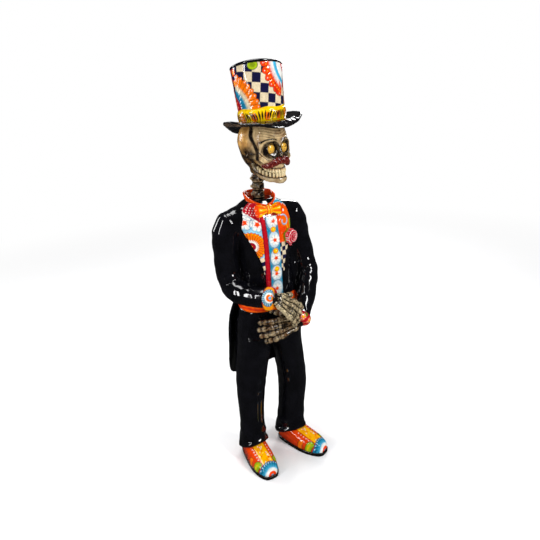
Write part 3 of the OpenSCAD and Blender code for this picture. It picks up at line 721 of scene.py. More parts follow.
def shoe(side):
    x, y, angle = FEET[side]
    foot = BODY.then(turn(2, math.radians(angle)), [x, y, 0])
    points, faces = soften(side + "_shoe", 1.15, 5)
    p = foot.into(points)
    up = np.hypot(p[:, 1] + TOE, p[:, 2] - 9)
    art = Paint(p[:, 0], up, mix(FLAME, ORANGE, 0.25))
    brown = mix(FLAME, rgb(150, 30, 4), 0.6)
    art.put(16 - abs(p[:, 0]) + 0.05 * (up - 60), mix(FLAME, brown, 0.35), 0, 9)
    art.put(p[:, 2] - 16 - 0.03 * up, brown, 0, 8)
    art.leaf(-27, 52, 26, 12, 2.1, ORANGE)
    art.leaf(27, 52, 26, 12, 1.04, ORANGE)
    art.outline(abs(p[:, 0]) - 14.5, 0.9, mix(INK, brown, 0.4))
    art.put(np.maximum(abs(p[:, 0]) - 13.5, 26 - up), mix(ORANGE, YELLOW, 0.6), 0.2)
    seeds = np.random.default_rng(5)
    for _ in range(46):
        sx, sy = seeds.uniform(-12, 12), seeds.uniform(30, 92)
        a = seeds.uniform(0, 3.1)
        reach = seeds.uniform(1.5, 3.2)
        path = [(sx, sy), (sx + reach * math.cos(a), sy + reach * math.sin(a))]
        art.stroke(path, 1.7, [YELLOW, FLAME, WHITE, ORANGE][int(seeds.integers(4))], 0.45)
    art.spots([(s * 18, 38 + 7.5 * k) for s in (-1, 1) for k in range(6)], 1.25, WHITE)
    for s in (-1, 1):
        d = art.disc(s * 24, 35, 8.6, mix(LIME, OLIVE, 0.35), 0.3)
        art.disc(s * 24.5, 35.5, 5.6, LIME, 0.5)
        art.disc(s * 25, 36, 2.8, mix(LIME, YELLOW, 0.5), 0.6)
        art.outline(d)
    art.fan(0, 3, [(0, SKY), (3.2, SKY), (3.6, FLAME), (9.5, FLAME), (10.2, WHITE), (14.5, WHITE), (18, SKY),
                   (24, mix(TEAL, AQUA, 0.5)), (31, TEAL)], -6, 186, 15, 0.06, 27.8)
    art.hand_mixed(p)
    points = points + normals(points, faces) * art.h[:, None]
    make(side + "_glazed_shoe", points, faces, PAINTED, "figure", [side + "_shoe"], art.c)

    points, faces = soften(side + "_sole", 1.2, 5)
    p = foot.into(points)
    rim = normals(points, faces)
    welt = 0.7 * np.exp(-((p[:, 2] - 7.2) / 0.9) ** 2) * (abs(rim[:, 2]) < 0.6)
    groove = 0.5 * np.exp(-((p[:, 2] - 5.4) / 0.6) ** 2) * (abs(rim[:, 2]) < 0.6)
    points = points + rim * (welt - groove + 0.25 * noise(p, 9))[:, None] * step(0.5, 2, p[:, 2])[:, None]
    make(side + "_glazed_sole", points, faces, SOLE_GLAZE, "figure", [side + "_sole"])


# ---- cuffs and hands ----
CAMERA = np.array([-467.0, -928.5, 880.0])
CUFF_LENGTH = 20


def standing(origin, x_dir, z_dir):
    x = unit(x_dir)
    y = unit(np.cross(z_dir, x))
    return BODY.then(np.stack([x, y, np.cross(x, y)], 1), origin)


def wrist_of(arm):
    d = unit(arm[-1, :3] - arm[-2, :3])
    return arm[-1, :3], d, arm[-1, :3] + d * CUFF_LENGTH


def cuff(side, arm):
    start, d, _ = wrist_of(arm)
    place = standing(start, np.cross(d, [0, 0, 1]), d)
    points, faces = soften(side + "_cuff", 0.85, 4)
    p = place.into(points)
    seen = place.into(CAMERA)
    t = np.arctan2(p[:, 1], p[:, 0]) - math.atan2(seen[1], seen[0])
    t = (t + math.pi) % (2 * math.pi) - math.pi
    u, v = 25 * t, p[:, 2]
    art = Paint(u, v, mix(CRIMSON, RED, 0.5))
    if side == "right":
        art.put(-u - 30, mix(ORANGE, YELLOW, 0.3), 0.2)
        art.put(np.maximum(u - 60, 32 - u), ORANGE, 0.2)
        art.put(v - 3.2, mix(CRIMSON, RED, 0.5), 0.3)
        for k, x in enumerate((-70, -52, 34, 54, 70)):
            art.leaf(x, 4, 15, 9, 1.2 + 0.3 * (k % 2), OLIVE)
        art.fan(-1, 19, [(0, SKY), (3.4, SKY), (3.8, WHITE), (4.2, FLAME), (8.4, ORANGE), (9, WHITE), (11.5, WHITE),
                         (13, AQUA), (21, TEAL)], 165, 375, 15, 0.07, 17.8)
        art.spots([(-1 + 14.6 * math.cos(a), 19 + 14.6 * math.sin(a)) for a in np.linspace(3.1, 6.4, 13)], 0.75, WHITE)
        art.fan(-70, 18, [(0, YELLOW), (4, ORANGE), (14, FLAME)], 180, 360, 9)
        art.fan(62, 18, [(0, SKY), (5, WHITE), (15, TEAL)], 180, 360, 9)
    else:
        art.put(v - 6, mix(CRIMSON, RED, 0.3), 0.2)
        for k in range(8):
            art.leaf(-76 + 20 * k, 3, 17, 10, 0.9, OLIVE if k % 2 else LIME)
        for k in range(8):
            x = -68 + 20 * k
            art.daisy(x, 14, 7.5, 6, 0.4 * k, mix(ORANGE, FLAME, 0.3), YELLOW)
            art.spots([(x + 4.5 * math.cos(a), 14 + 4.5 * math.sin(a)) for a in np.arange(0, 6.2, 1.05)], 0.8, WHITE)
    art.hand_mixed(p)
    n = normals(points, faces)
    dent = 0.5 * noise(p, 12)
    make(side + "_painted_cuff", points + n * (art.h + dent)[:, None], faces, PAINTED, "figure", [side + "_cuff"],
         art.c)


def bone_colour(p, groove, shade, pale=1.0):
    """Bone glaze with a dark wash that lies in the grooves and wears off the ridges, darkened towards near-black where
    shade is near 1: painted lines, and on some pieces painted shade.
    """
    base = mix(rgb(112, 72, 34), rgb(236, 216, 170), np.clip(0.55 * pale + 0.3 * step(0.15, -0.45, groove)
               + 0.3 * cloudy(p, 11), 0, 1)[:, None])
    brown = mix(base, rgb(74, 44, 22), np.clip(step(0.02, 0.5, groove) + 0.5 * step(0.1, 0.9, noise(p, 5)), 0, 1)[:, None] * 0.8)
    # near-black mix: painted lines, and on some pieces painted shade
    dark_paint_and_shade = np.clip(shade + 0.18 * cloudy(p, 6), 0, 1)
    return mix(brown, rgb(16, 11, 9), dark_paint_and_shade[:, None])


def sample(grid, field, p):
    i = np.clip(np.round((p - grid.low) / grid.cell).astype(int), 0, np.array(field.shape) - 1)
    return field[tuple(i.T)]


# the left hand is painted darker than the right one (pale 0.2 against 1.0) as painted shade
HANDS = {"right": ([0.76, -0.10, -0.64], [0.25, -0.9, 0.35], 1, 1.0),
         "left": ([-0.97, -0.12, 0.02], [0.1, -0.95, 0.3], -1, 0.2)}
HAND_SCALE = 1.25


def hand(side, arm):
    direction, back, thumb, pale = HANDS[side]
    place = standing(wrist_of(arm)[2], direction, back)
    g = Grid([-8, -30, -34], [108, 62, 18], 0.95) if thumb > 0 else Grid([-8, -62, -34], [108, 30, 18], 0.95)
    s = HAND_SCALE
    bones = None

    def add(f):
        nonlocal bones
        bones = f if bones is None else join(bones, f, 0.8)

    def bone(a, b, r, thin=0.82, knob=1.12):
        a, b = np.array(a, float), np.array(b, float)
        middle = mix(a, b, 0.5)
        f = join(g.rod(a, middle, r * 0.95, r * thin), g.rod(middle, b, r * thin, r * 0.95), 1.5)
        add(join(f, np.minimum(g.ball(a, r * knob), g.ball(b, r * knob)), 1.2))

    def finger(base, spread_angle, length, r, start):
        bend = [math.radians(v) for v in (0, 12, 34, 52)]
        share = [0, 0.45, 0.3, 0.25]
        knots, reach, drop = [], 0.0, 0.0
        for k in range(4):
            reach += length * share[k] * math.cos(bend[k])
            drop += length * share[k] * math.sin(bend[k])
            knots.append(s * np.array([base[0] + reach * math.cos(spread_angle), base[1] + reach * math.sin(spread_angle),
                                       base[2] - drop]))
        bone(s * np.array(start, float), knots[0] - [3, 0, 0], r * 0.8)
        for k in range(3):
            d = knots[k + 1] - knots[k]
            bone(knots[k] + 0.1 * d, knots[k + 1] - 0.06 * d, r * (0.92 - 0.1 * k))

    for k in range(4):
        finger([38, thumb * (14 - 9.3 * k), 1], math.radians(thumb * (4 - 4 * k)), [35, 40, 38, 31][k], 6.3,
               [11, thumb * (9 - 6 * k), 3])
    finger([15, thumb * 13, -2], math.radians(thumb * 34), 35, 6.5, [6, thumb * 8, 0])
    for k, (x, y) in enumerate([(2, 8), (3, 1), (3, -6), (8, 5), (8, -2), (8, -8)]):
        add(g.ball([s * x, s * y * thumb, 3 + 0.8 * (k % 2)], [5.2, 5, 4.6]))
    palm = g.rod([0, 0, -3], [s * 36, 0, -4], 11, 19, flat=((0, 0, 1), 0.3))
    web = g.rod([s * 36, 0, -5], [s * 54, 0, -9], 19, 16, flat=((0, 0, 1), 0.22))
    palm = join(palm, web, 2)
    wrist = g.rod([-7, 0, 0], [6, 0, 0], 12, 12, flat=((0, 0, 1), 0.7))
    field = join(np.minimum(bones, join(palm, wrist, 3)), bones, 1.0)
    points, faces = nets(g, field)
    points = smooth(points, faces, 2)
    away = sample(g, bones, points)
    groove = hollow(points, faces)
    # the wash fills the valleys between the bones and runs along them in streaks
    shade = np.maximum(step(0.0, 0.7, away), step(-0.25, 0.10, groove))
    streak = step(0.0, 0.5, noise(points * [0.25, 1.3, 1], 4)) * (1.0 - 0.4 * pale)
    colour = bone_colour(points, groove, np.clip(shade + streak * 0.8, 0, 1), pale)
    points = points + normals(points, faces) * (0.25 * cloudy(points, 5))[:, None]
    make(side + "_bone_hand", place.out(points), faces, BONE, "figure", [side + "_hand"], colour)


# ---- shirt, lapels, collar and bow ----
def front_piece(node, name, art_of, voxel=0.95, rounds=4, base=FLAME):
    """A thin piece on the chest, painted in its front view."""
    points, faces = soften(node, voxel, rounds)
    p = BODY.into(points)
    art = Paint(p[:, 0], p[:, 2], base)
    art_of(art, p)
    art.hand_mixed(p)
    points = points + normals(points, faces) * art.h[:, None]
    return make(name, points, faces, PAINTED, "figure", [node], art.c)


def right_lapel_art(art, p):
    u, v = p[:, 0], p[:, 2]
    art.put(v - 999, mix(SKY, WHITE, 0.3), 0)
    flowers = ((-40, 620, 18), (-53, 598, 15.5), (-29, 593, 15))
    for k, (x, z, r) in enumerate(flowers):
        art.daisy(x, z, r, 8 - k % 2, 0.3 + 0.3 * k)
    for x, z, r in flowers:
        art.outline(art.polar(x, z)[0] - r, 0.7, TEAL)
    region = -(0.62 * (u + 62) + 0.78 * (v - 622))
    art.put(region + 4, mix(CRIMSON, RED, 0.35), 0.3)
    art.spots([(-66 + 5.2 * i + 2 * (j % 2), 621 + 4.6 * j - 0.8 * i) for i in range(9) for j in range(-1, 3)
               if 0.62 * (-4 + 5.2 * i) + 0.78 * (7 + 4.6 * j - 0.8 * i) > 6], 0.95, WHITE)
    art.checks(v - 522, 9.5, 0.25, -30, 512)
    art.fan(-46, 548, [(0, YELLOW), (2.8, YELLOW), (3.2, CRIMSON), (8.5, CRIMSON), (9.2, WHITE), (12, WHITE),
                       (13, ORANGE), (30, mix(ORANGE, FLAME, 0.25))], -95, 130, 17, 0.07, 13.6)
    for k in range(15):
        a = math.radians(-88 + 14 * k)
        art.disc(-46 + 26 * math.cos(a), 548 + 26 * math.sin(a), 1.0, YELLOW, 0.5)


def left_lapel_art(art, p):
    u, v = p[:, 0], p[:, 2]
    art.put(v - 999, FLAME, 0)
    art.checks(v - 548, 9.4, 0.0, 21, 520)
    art.put(-v + 620, mix(SKY, AQUA, 0.3), 0.3)
    art.spots([(30 + 6 * k, 623) for k in range(5)], 1.1, WHITE)
    # dotted scroll that runs down and curls round a blue spiral
    art.stroke([(27, 614), (40, 616), (49, 606), (50, 592), (46, 576), (38, 562), (30, 556)], 17,
               mix(FLAME, ORANGE, 0.35), 0.35)
    art.stroke([(24, 606), (30, 612), (38, 612)], 5, WHITE, 0.4)
    art.disc(34, 590, 11.5, mix(FLAME, ORANGE, 0.5), 0.4)
    spiral = [(34 + r * math.cos(a), 591 + r * math.sin(a)) for a, r in
              zip(np.linspace(1.9, -3.6, 15), np.linspace(13, 4.5, 15))]
    art.stroke(spiral, 3.0, mix(SKY, TEAL, 0.35), 0.5)
    art.stroke([(x, z + 0.3) for x, z in spiral], 0.9, WHITE, 0.6)
    rim = [(27, 622), (43, 624), (56, 612), (58, 592), (53, 572), (44, 556)]
    for k in range(len(rim) - 1):
        for j in range(4):
            q = mix(np.array(rim[k], float), np.array(rim[k + 1], float), j / 4)
            art.disc(q[0], q[1], 1.1, WHITE, 0.55)
    art.put(np.maximum(np.maximum(-u + 55 - 0.25 * (v - 600), 590 - v), -99), WHITE, 0.2)
    for x, z in ((58, 612), (60, 600)):
        art.stroke([(x - 3, z + 6), (x + 2, z + 2), (x - 2, z - 3), (x + 3, z - 6)], 2.2, INK, 0.3)
    art.put(np.maximum(-u + 50, v - 590), LIME, 0.25)
    art.stroke([(40, 582), (45, 570), (44, 560)], 1.6, YELLOW, 0.5)


def shirt_art(art, p):
    u, v = p[:, 0], p[:, 2]
    art.put(v - 999, RED, 0)
    art.put(612 - v, mix(FLAME, ORANGE, 0.4), 0.1, 2)
    art.put(u + 11.5, mix(RED, CRIMSON, 0.4), 0.1, 2)
    art.put(u + 18, CRIMSON, 0.1, 2)


def placket_art(art, p):
    u, v = p[:, 0], p[:, 2]
    art.put(v - 999, mix(TEAL, AQUA, 0.55), 0)
    for k, (x, z) in enumerate(((6, 597), (4, 558), (3, 519), (2, 484), (1, 450))):
        lobe = np.hypot((u - 2.75) / 13, (v - z) / 18.5) * 13 - 13
        art.put(lobe, mix(SKY, WHITE, 0.6), 0.35, 4)
        art.outline(lobe, 1.0, mix(TEAL, INK, 0.4))
        art.daisy(x, z - 1, 12.4, 8, 0.35 * k)


def lay_buttons():
    points, faces = soften("shirt_buttons", 0.45, 3)
    p = BODY.into(points)
    art = Paint(p[:, 0], p[:, 2], mix(ORANGE, YELLOW, 0.25))
    for z in (493, 533, 579):
        art.disc(3, z + 1, 5.2, mix(ORANGE, YELLOW, 0.5), 0.1)
        # painted highlight: a small yellow spot set up and to the side on each dome
        art.disc(2, z + 2, 2.8, YELLOW, 0.2)
    art.hand_mixed(p, 0.1)
    make("domed_buttons", points, faces, PAINTED, "figure", ["shirt_buttons"], art.c)


def collar():
    g = Grid([-46, -32, 608], [46, 64, 664], 0.9)
    y = g.y - 18
    r, t = np.hypot(g.x, y) + 0 * g.z, np.arctan2(g.x, -y) + 0 * g.z
    front = ((1 + np.cos(t)) / 2) ** 3
    low, high = 630 - 16 * front, 651 - 20 * front
    share = np.clip((g.z - low) / (high - low), -0.2, 1.1)
    f = abs(r - mix(27 + 7 * front, 32 + 4 * front, share)) - 1.9
    f = np.maximum(f, np.maximum(low - g.z, g.z - high))
    f = np.maximum(f, (0.03 - abs(t)) * 30)
    points, faces = nets(g, f)
    points = smooth(points, faces, 3)
    n = normals(points, faces)
    out = n[:, 0] * points[:, 0] + n[:, 1] * (points[:, 1] - 18)
    art = Paint(points[:, 0], points[:, 2], FLAME)
    # painted shade: the inward face of the collar painted deeper red, and the top and bottom edges half as deep
    art.put(out, mix(FLAME, RED, 0.35), 0, 9)
    art.put(0.3 - 0.6 * noise(points, 9), mix(FLAME, ORANGE, 0.45), 0.1, 1.6)
    art.hand_mixed(points)
    points = points + n * (0.4 * noise(points, 10))[:, None]
    make("glazed_collar", BODY.out(points), faces, PAINTED, "figure", ["shirt_collar"], art.c)


BOW_Z = 620


def bow():
    for node, name in (("bow_tie_wings", "glazed_bow"), ("bow_tie_knot", "glazed_knot")):
        points, faces = soften(node, 0.7, 4)
        p = BODY.into(points) - [0, 0, BOW_Z]
        n = normals(points, faces)
        fold = np.sin(np.arctan2(p[:, 2], abs(p[:, 0]) + 6) * 15) if node == "bow_tie_wings" else np.sin(p[:, 0] * 1.3)
        front = step(0.2, -0.6, n[:, 1])
        art = Paint(p[:, 0], p[:, 2], ORANGE)
        # painted light: the pleat ridges painted yellow as painted highlights, and the pleat grooves deeper flame as
        # painted shade
        art.put(-fold * 1.5 + 0.3, mix(ORANGE, YELLOW, 0.75), 0, 1.6)
        art.put(fold * 1.5 + 1.0, mix(ORANGE, FLAME, 0.75), 0, 1.2)
        art.put(-abs(p[:, 0]) + 25 if node == "bow_tie_wings" else abs(p[:, 0]) * 0 + 9, FLAME, 0, 2)
        art.hand_mixed(p)
        points = points + n * (fold * 0.75 * (0.3 + 0.7 * front))[:, None]
        make(name, points, faces, PAINTED, "figure", [node], art.c)


def rose():
    low, high = (np.array(c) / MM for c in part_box("lapel_rose"))
    centre = BODY.into((low + high) / 2)
    angle = math.radians(24)
    place = BODY.then(turn(2, angle), [centre[0], centre[1], 0])
    g = Grid([-19, -15, centre[2] - 22], [19, 14, centre[2] + 22], 0.6)
    middle = centre[2] + 3
    x, z = g.x, g.z - middle
    r, t = np.hypot(x, z) + 0 * g.y, np.arctan2(z, x) + 0 * g.y
    turns = r / 4.3 - t / (2 * math.pi)
    petal = (turns % 1.0)
    dome = np.sqrt(np.clip(1 - (r / 17) ** 2, 0, 1))
    front = -2 - 9 * dome - 2.6 * petal ** 1.5 * step(17, 12, r)
    edge = r - 15.2 - 1.2 * np.sin(5 * t + 0.6)
    field = np.maximum(np.maximum(front - g.y, g.y - 6), edge)
    bud = g.rod([0, 0, middle - 12], [1, 0, middle - 18.5], 7, 4, flat=((0, 1, 0), 0.7))
    field = join(field, bud, 2)
    points, faces = nets(g, field)
    points = smooth(points, faces, 2)
    r, t = np.hypot(points[:, 0], points[:, 2] - middle), np.arctan2(points[:, 2] - middle, points[:, 0])
    petal = (r / 4.3 - t / (2 * math.pi)) % 1.0
    art = Paint(points[:, 0], points[:, 2], mix(RED, PINK, 0.45))
    # painted light: each petal paler towards its raised edge with a near-white streak there as a painted highlight,
    # and crimson in the step down to the next petal as painted shade
    art.put(0.42 - petal, mix(PINK, WHITE, 0.12), 0, 0.4)
    art.put(abs(petal - 0.86) - 0.07 - 0.05 * noise(points, 5), mix(PINK, WHITE, 0.85), 0, 0.08)
    art.put(np.minimum(abs(petal - 0.02), abs(petal - 0.98)) - 0.06, mix(CRIMSON, RED, 0.3), 0, 0.08)
    art.put(1 - points[:, 1], OLIVE, 0, 2)
    art.hand_mixed(points)
    make("glazed_rose", place.out(points), faces, PAINTED, "figure", ["lapel_rose"], art.c)


# ---- neck and head ----
NECK_LOW, NECK_TOP = 638.4, 688
EYE_X, EYE_Z = 16.5, 746


def vertebrae():
    radii = (14.4, 13.9, 14.2)
    height = (NECK_TOP - NECK_LOW) / len(radii)
    place = Place(turn(2, HEAD_TURN), [ROD[0], ROD[1], 0])
    for k, r in enumerate(radii):
        z = NECK_LOW + height * (k + 0.5)
        g = Grid([-19, -18, z - 10], [19, 22, z + 10], 0.7)
        f = cut(np.hypot(g.x, g.y) - r + 1.2 + 0 * g.z, height / 2 - 0.3 - abs(g.z - z), 3.5)
        for s in (-1, 1):
            f = join(f, g.rod([s * 9, 2, z], [s * 14, 4, z + 1], 4.4, 3.2), 2)
        f = join(f, g.rod([0, 9, z], [0, 18, z - 2], 3.6, 2.6), 2)
        # rimmed hollow that faces forward
        f = join(f, g.ball([-2, -8.5, z], [7.4, 7, 6.8]), 1)
        f = cut(f, g.ball([-2, -16, z], [4.9, 6.5, 4.9]), 0.6)
        f = cut(f, np.hypot(g.x, g.y) - 4.1 + 0 * g.z, 0.01)
        f = np.maximum(f, abs(g.z - z) - height / 2 + 0.15)
        points, faces = nets(g, f)
        points = smooth(points, faces, 2)
        groove = hollow(points, faces)
        hole = np.linalg.norm(points - [-2, -14, z], axis=1)
        shade = np.clip(0.62 + 0.5 * noise(points, 6) - step(0.02, -0.4, groove) * 0.9, 0, 1)
        shade = np.maximum(shade, step(6.0, 4.8, hole))
        shade = np.maximum(shade, step(5.8, 7.4, abs(points[:, 2] - z)))
        make("bone_vertebra_%d" % (k + 1), place.out(points), faces, BONE, "head", ["vertebra_%d" % (k + 1)],
             bone_colour(points, groove, np.clip(shade + 0.2, 0, 1), 0.2))


def ring_round(p, c, r):
    """Distance from a ring seen from the front of the face."""
    return abs(np.hypot(p[:, 0] - c[0], p[:, 2] - c[1]) - r)


def skull():
    g = Grid([-52, -60, 684], [52, 62, 802], 1.15)
    f = g.ball([0, 11, 757], [46, 47, 47])
    f = join(f, g.ball([0, 26, 728], [30, 30, 27]), 10)
    f = join(f, g.ball([0, -12, 765], [40, 37, 40]), 8)
    f = join(f, g.ball([0, -20, 732], [31, 27, 30]), 7)
    f = join(f, g.ball([0, -30, 713], [21, 19.5, 15]), 6)
    for s in (-1, 1):
        # brow, cheekbone and the arch that runs back from it
        f = join(f, g.rod([s * 4, -47, 754], [s * 17, -46, 763], 3.4, 3.6), 6)
        f = join(f, g.rod([s * 17, -46, 763], [s * 33, -32, 754], 3.6, 3.6), 6)
        f = join(f, g.rod([s * 33, -33, 754], [s * 34, -33, 738], 4.2, 4.6), 4)
        f = join(f, g.rod([s * 12, -47, 725], [s * 30, -36, 728], 5.6, 6.4), 5)
        f = join(f, g.rod([s * 30, -36, 728], [s * 40, 2, 732], 5.6, 3.8), 4)
        f = cut(f, g.ball([s * 47, -17, 748], [9, 17, 16]), 6)
        f = cut(f, g.ball([s * 40, -8, 714], [15, 24, 11]), 6)
        f = cut(f, g.ball([s * EYE_X, -53, EYE_Z], [14.2, 14, 13.8]), 2.0)
    f = join(f, g.rod([0, -48, 750], [0, -53, 735], 4.2, 3.6), 4)
    for s in (-1, 1):
        f = cut(f, g.ball([s * 4.0, -51, 726], [3.4, 7, 5.6]), 1.2)
    f = np.maximum(f, g.z - 796.5)
    f = join(f, g.rod([0, 27, 700], [0, 24, 712], 15, 20), 6)
    # solid block that fills the back of the mouth, painted near-black below as painted shade for the hollow of the
    # mouth
    f = join(f, g.ball([0, -12, 701], [19, 27, 13]), 3)
    f = np.maximum(f, 690 - g.z)
    # room for the end of the rod
    f = cut(f, np.maximum(np.hypot(g.x, g.y - SKULL_AHEAD) - 9.2 + 0 * g.z, g.z - 710), 0.01)
    points, faces = nets(g, f)
    points = smooth(points, faces, 3)
    n = normals(points, faces)
    x, y, z = points.T
    front = step(-18, -34, y)
    lift = 0.7 * cloudy(points, 16, 2)
    for s in (-1, 1):
        # wrinkles that run round the lower half of each socket
        r = np.hypot(x - s * EYE_X, z - EYE_Z)
        low = step(8, -4, z - EYE_Z) * step(15.5, 17, r) * step(27, 22, r)
        lift += front * low * 0.55 * np.sin((r - 15) * 2 * math.pi / 3.6)
    brow = step(764, 768, z) * front
    lift += brow * 0.3 * np.sin((z + 4 * np.cos(x / 12)) * 2 * math.pi / 5.2)
    points = points + n * lift[:, None]
    groove = hollow(points, faces)
    shade = np.zeros(len(points))
    for s in (-1, 1):
        r = np.hypot(x - s * EYE_X, (z - EYE_Z) * 1.03)
        shade = np.maximum(shade, step(20.5, 15.5, r + 1.5 * noise(points, 6)) * step(-14, -24, y))
        low = step(8, -4, z - EYE_Z) * front
        for ring in (16.8, 19.6, 22.6):
            shade = np.maximum(shade, low * step(0.9, 0.3, abs(r - ring + 0.6 * noise(points, 8))))
        # painted eyebrow, a thin arc with a second one above it
        arc = np.hypot((x - s * 18) / 1.25, z - 748)
        above = step(756, 760, z) * step(0, 4, s * x - 3)
        shade = np.maximum(shade, front * above * step(1.5, 0.8, abs(arc - 17.5)))
        shade = np.maximum(shade, step(7.2, 5.4, np.hypot((x - s * 4.0) * 1.5, z - 727)) * step(-36, -42, y))
        # dark band from the hat down behind the eye to the corner of the jaw
        band = abs(y + 21 - 0.30 * (z - 740) - 4 * noise(points, 20))
        side = step(22, 30, s * x)
        shade = np.maximum(shade, side * step(7.5, 3.0, band))
        shade = np.maximum(shade, 0.95 * side * step(38, 20, np.hypot(y - 8, (z - 718) * 0.9)) *
                           step(-0.9, 0.2, noise(points, 22) + 0.4))
    wrinkle = abs(np.sin((z + 4 * np.cos(x / 12)) * math.pi / 5.2))
    shade = np.maximum(shade, brow * step(776, 780, z) * step(0.2, 0.05, wrinkle) * 0.55)
    # painted shade: the block at the back of the mouth and the skull round it below the teeth painted near-black
    shade = np.maximum(shade, step(709, 704, z) * step(30, 20, y))
    # painted shadow of the brim: a dark band on the skull just under the hat
    shade = np.maximum(shade, 0.75 * step(790, 796, z))
    back = step(-12, 4, y)
    shade = np.maximum(shade, back * np.clip(0.9 * step(764, 724, z) + 0.25 * cloudy(points, 30), 0, 0.93))
    colour = bone_colour(points, groove, shade, 0.9)
    tan = mix(colour, colour * rgb(240, 196, 122) * 1.3, (0.25 + back * 0.6)[:, None])
    make("glazed_skull", HEAD.out(points), faces, BONE, "head", ["skull"], tan)


def jaw_curve(t, grow=0.0):
    t = math.radians(t)
    return np.array([(26 + grow) * math.cos(t), -9 + (45 + grow) * min(0, math.sin(t)) + 14 * max(0, math.sin(t))])


def rise_of(t):
    return 15 * ((1 + math.sin(math.radians(t))) / 1.3) ** 2


def jaw():
    g = Grid([-34, -60, 672], [34, 22, 722], 0.9)
    f = None
    steps = list(range(-206, 27, 8))
    for a, b in zip(steps[:-1], steps[1:]):
        pa, pb = jaw_curve(a, -3), jaw_curve(b, -3)
        r = g.rod([*pa, 686.5 + rise_of(a)], [*pb, 686.5 + rise_of(b)], 5.4)
        f = r if f is None else join(f, r, 1.5)
    f = join(f, g.ball([0, -49, 683.5], [9.5, 6.5, 5.6]), 5)
    for s in (-1, 1):
        f = join(f, g.rod([s * 23, -2, 697], [s * 27, 4, 714], 5.2, 4.2), 3)
    points, faces = nets(g, f)
    points = smooth(points, faces, 3)
    points = points + normals(points, faces) * (0.5 * cloudy(points, 9))[:, None]
    groove = hollow(points, faces)
    x, y, z = points.T
    line = abs(z - 690.5 - 15 * np.clip((y + 54) / 60, 0, 1) ** 2)
    shade = np.maximum(step(1.6, 0.7, line) * 0.95, 0.8 * step(-16, -2, y) * step(-0.4, 0.4, noise(points, 14) + 0.3))
    # painted shade: the underside of the jaw a little darker
    shade = np.maximum(shade, 0.35 * step(684, 678, z))
    make("glazed_jaw", HEAD.out(points), faces, BONE, "head", ["lower_jaw"],
         bone_colour(points, groove, shade, 0.55))


def teeth(row, z, height, flip):
    g = Grid([-33, -59, z - 6], [33, 6, z + height + 14], 0.6)
    f = None
    own = np.random.default_rng(3 + flip)
    count = 13 if flip else 17
    step_angle, closer = (15.5, 0.055) if flip else (12.0, 0.0)
    spots = []
    for k in range(count):
        i = k - (count - 1) / 2
        t = -90 + step_angle * i * (1 - closer * abs(i))
        px, py = jaw_curve(t, -2.2)
        lift = (5.5 * (i / 6) ** 2 if flip else rise_of(t)) + own.uniform(-0.3, 0.3)
        w = 3.5 - (0.0 if flip else 0.7) + own.uniform(-0.25, 0.25)
        top = z + height + lift
        low = z + lift
        tooth = join(g.rod([px, py, low + 2.4], [px * 0.99, py * 0.99, top - 2.2], w, w * 0.94), g.ball(
            [px, py, top - 2.4 if not flip else low + 2.4], [w * 1.08, w, 2.9]), 0.8)
        f = tooth if f is None else np.minimum(f, tooth)
        spots.append(t)
    points, faces = nets(g, f)
    points = smooth(points, faces, 1)
    angle = np.degrees(np.arctan2((points[:, 1] + 9) / 41, points[:, 0] / 22))
    gap = np.min([abs(angle - (a + b) / 2) for a, b in zip(spots[:-1], spots[1:])], axis=0)
    lift = 5.5 * np.clip((points[:, 1] + 50) / 50, 0, 1) ** 1.2
    if not flip:
        lift = 15 * ((1 + np.sin(np.radians(angle))) / 1.3) ** 2
    root = (points[:, 2] - lift - z) / height
    root = root if not flip else 1 - root
    shade = np.maximum(step(1.5, 0.5, gap) * 0.8, step(0.16, 0.0, root) * 0.85)
    base = mix(rgb(226, 206, 160), rgb(190, 140, 80), np.clip(step(0.55, 0.1, root) * 0.8 + 0.25 * noise(points, 4), 0, 1)[:, None])
    colour = mix(base, rgb(20, 12, 8), shade[:, None])
    make(row + "_glazed", HEAD.out(points), faces, BONE, "head", [row], colour)


def moustache():
    g = Grid([-38, -64, 698], [38, -26, 736], 0.7)
    f = None
    for s in (-1, 1):
        knots = [(0.6, -53, 722, 5.0), (7, -53.5, 724, 7.6), (14, -51, 721.5, 7.6), (21, -46, 717, 6.6),
                 (27, -39.5, 714, 5.2), (32, -33.5, 715.5, 3.2)]
        for a, b in zip(knots[:-1], knots[1:]):
            r = g.rod([s * a[0], a[1], a[2]], [s * b[0], b[1], b[2]], a[3], b[3], flat=((0, 1, 0), 0.62))
            f = r if f is None else join(f, r, 1.2)
    points, faces = nets(g, f)
    points = smooth(points, faces, 1)
    n = normals(points, faces)
    hair = np.sin(abs(points[:, 0]) * 1.1 + points[:, 2] * 1.9 + 2 * noise(points, 6))
    points = points + n * (0.22 * hair + 0.2 * noise(points, 2.6))[:, None]
    speck = np.clip(noise(points, 1.5) * 1.3 + 0.4 * noise(points, 3.4), 0, 1)
    colour = mix(rgb(96, 14, 12), rgb(46, 6, 7), np.clip(hair, 0, 1)[:, None] * 0.7)
    colour = mix(colour, rgb(176, 92, 74), (step(0.30, 0.7, speck) * 0.75)[:, None])
    make("glazed_moustache", HEAD.out(points), faces, BONE, "head", ["moustache"], colour)


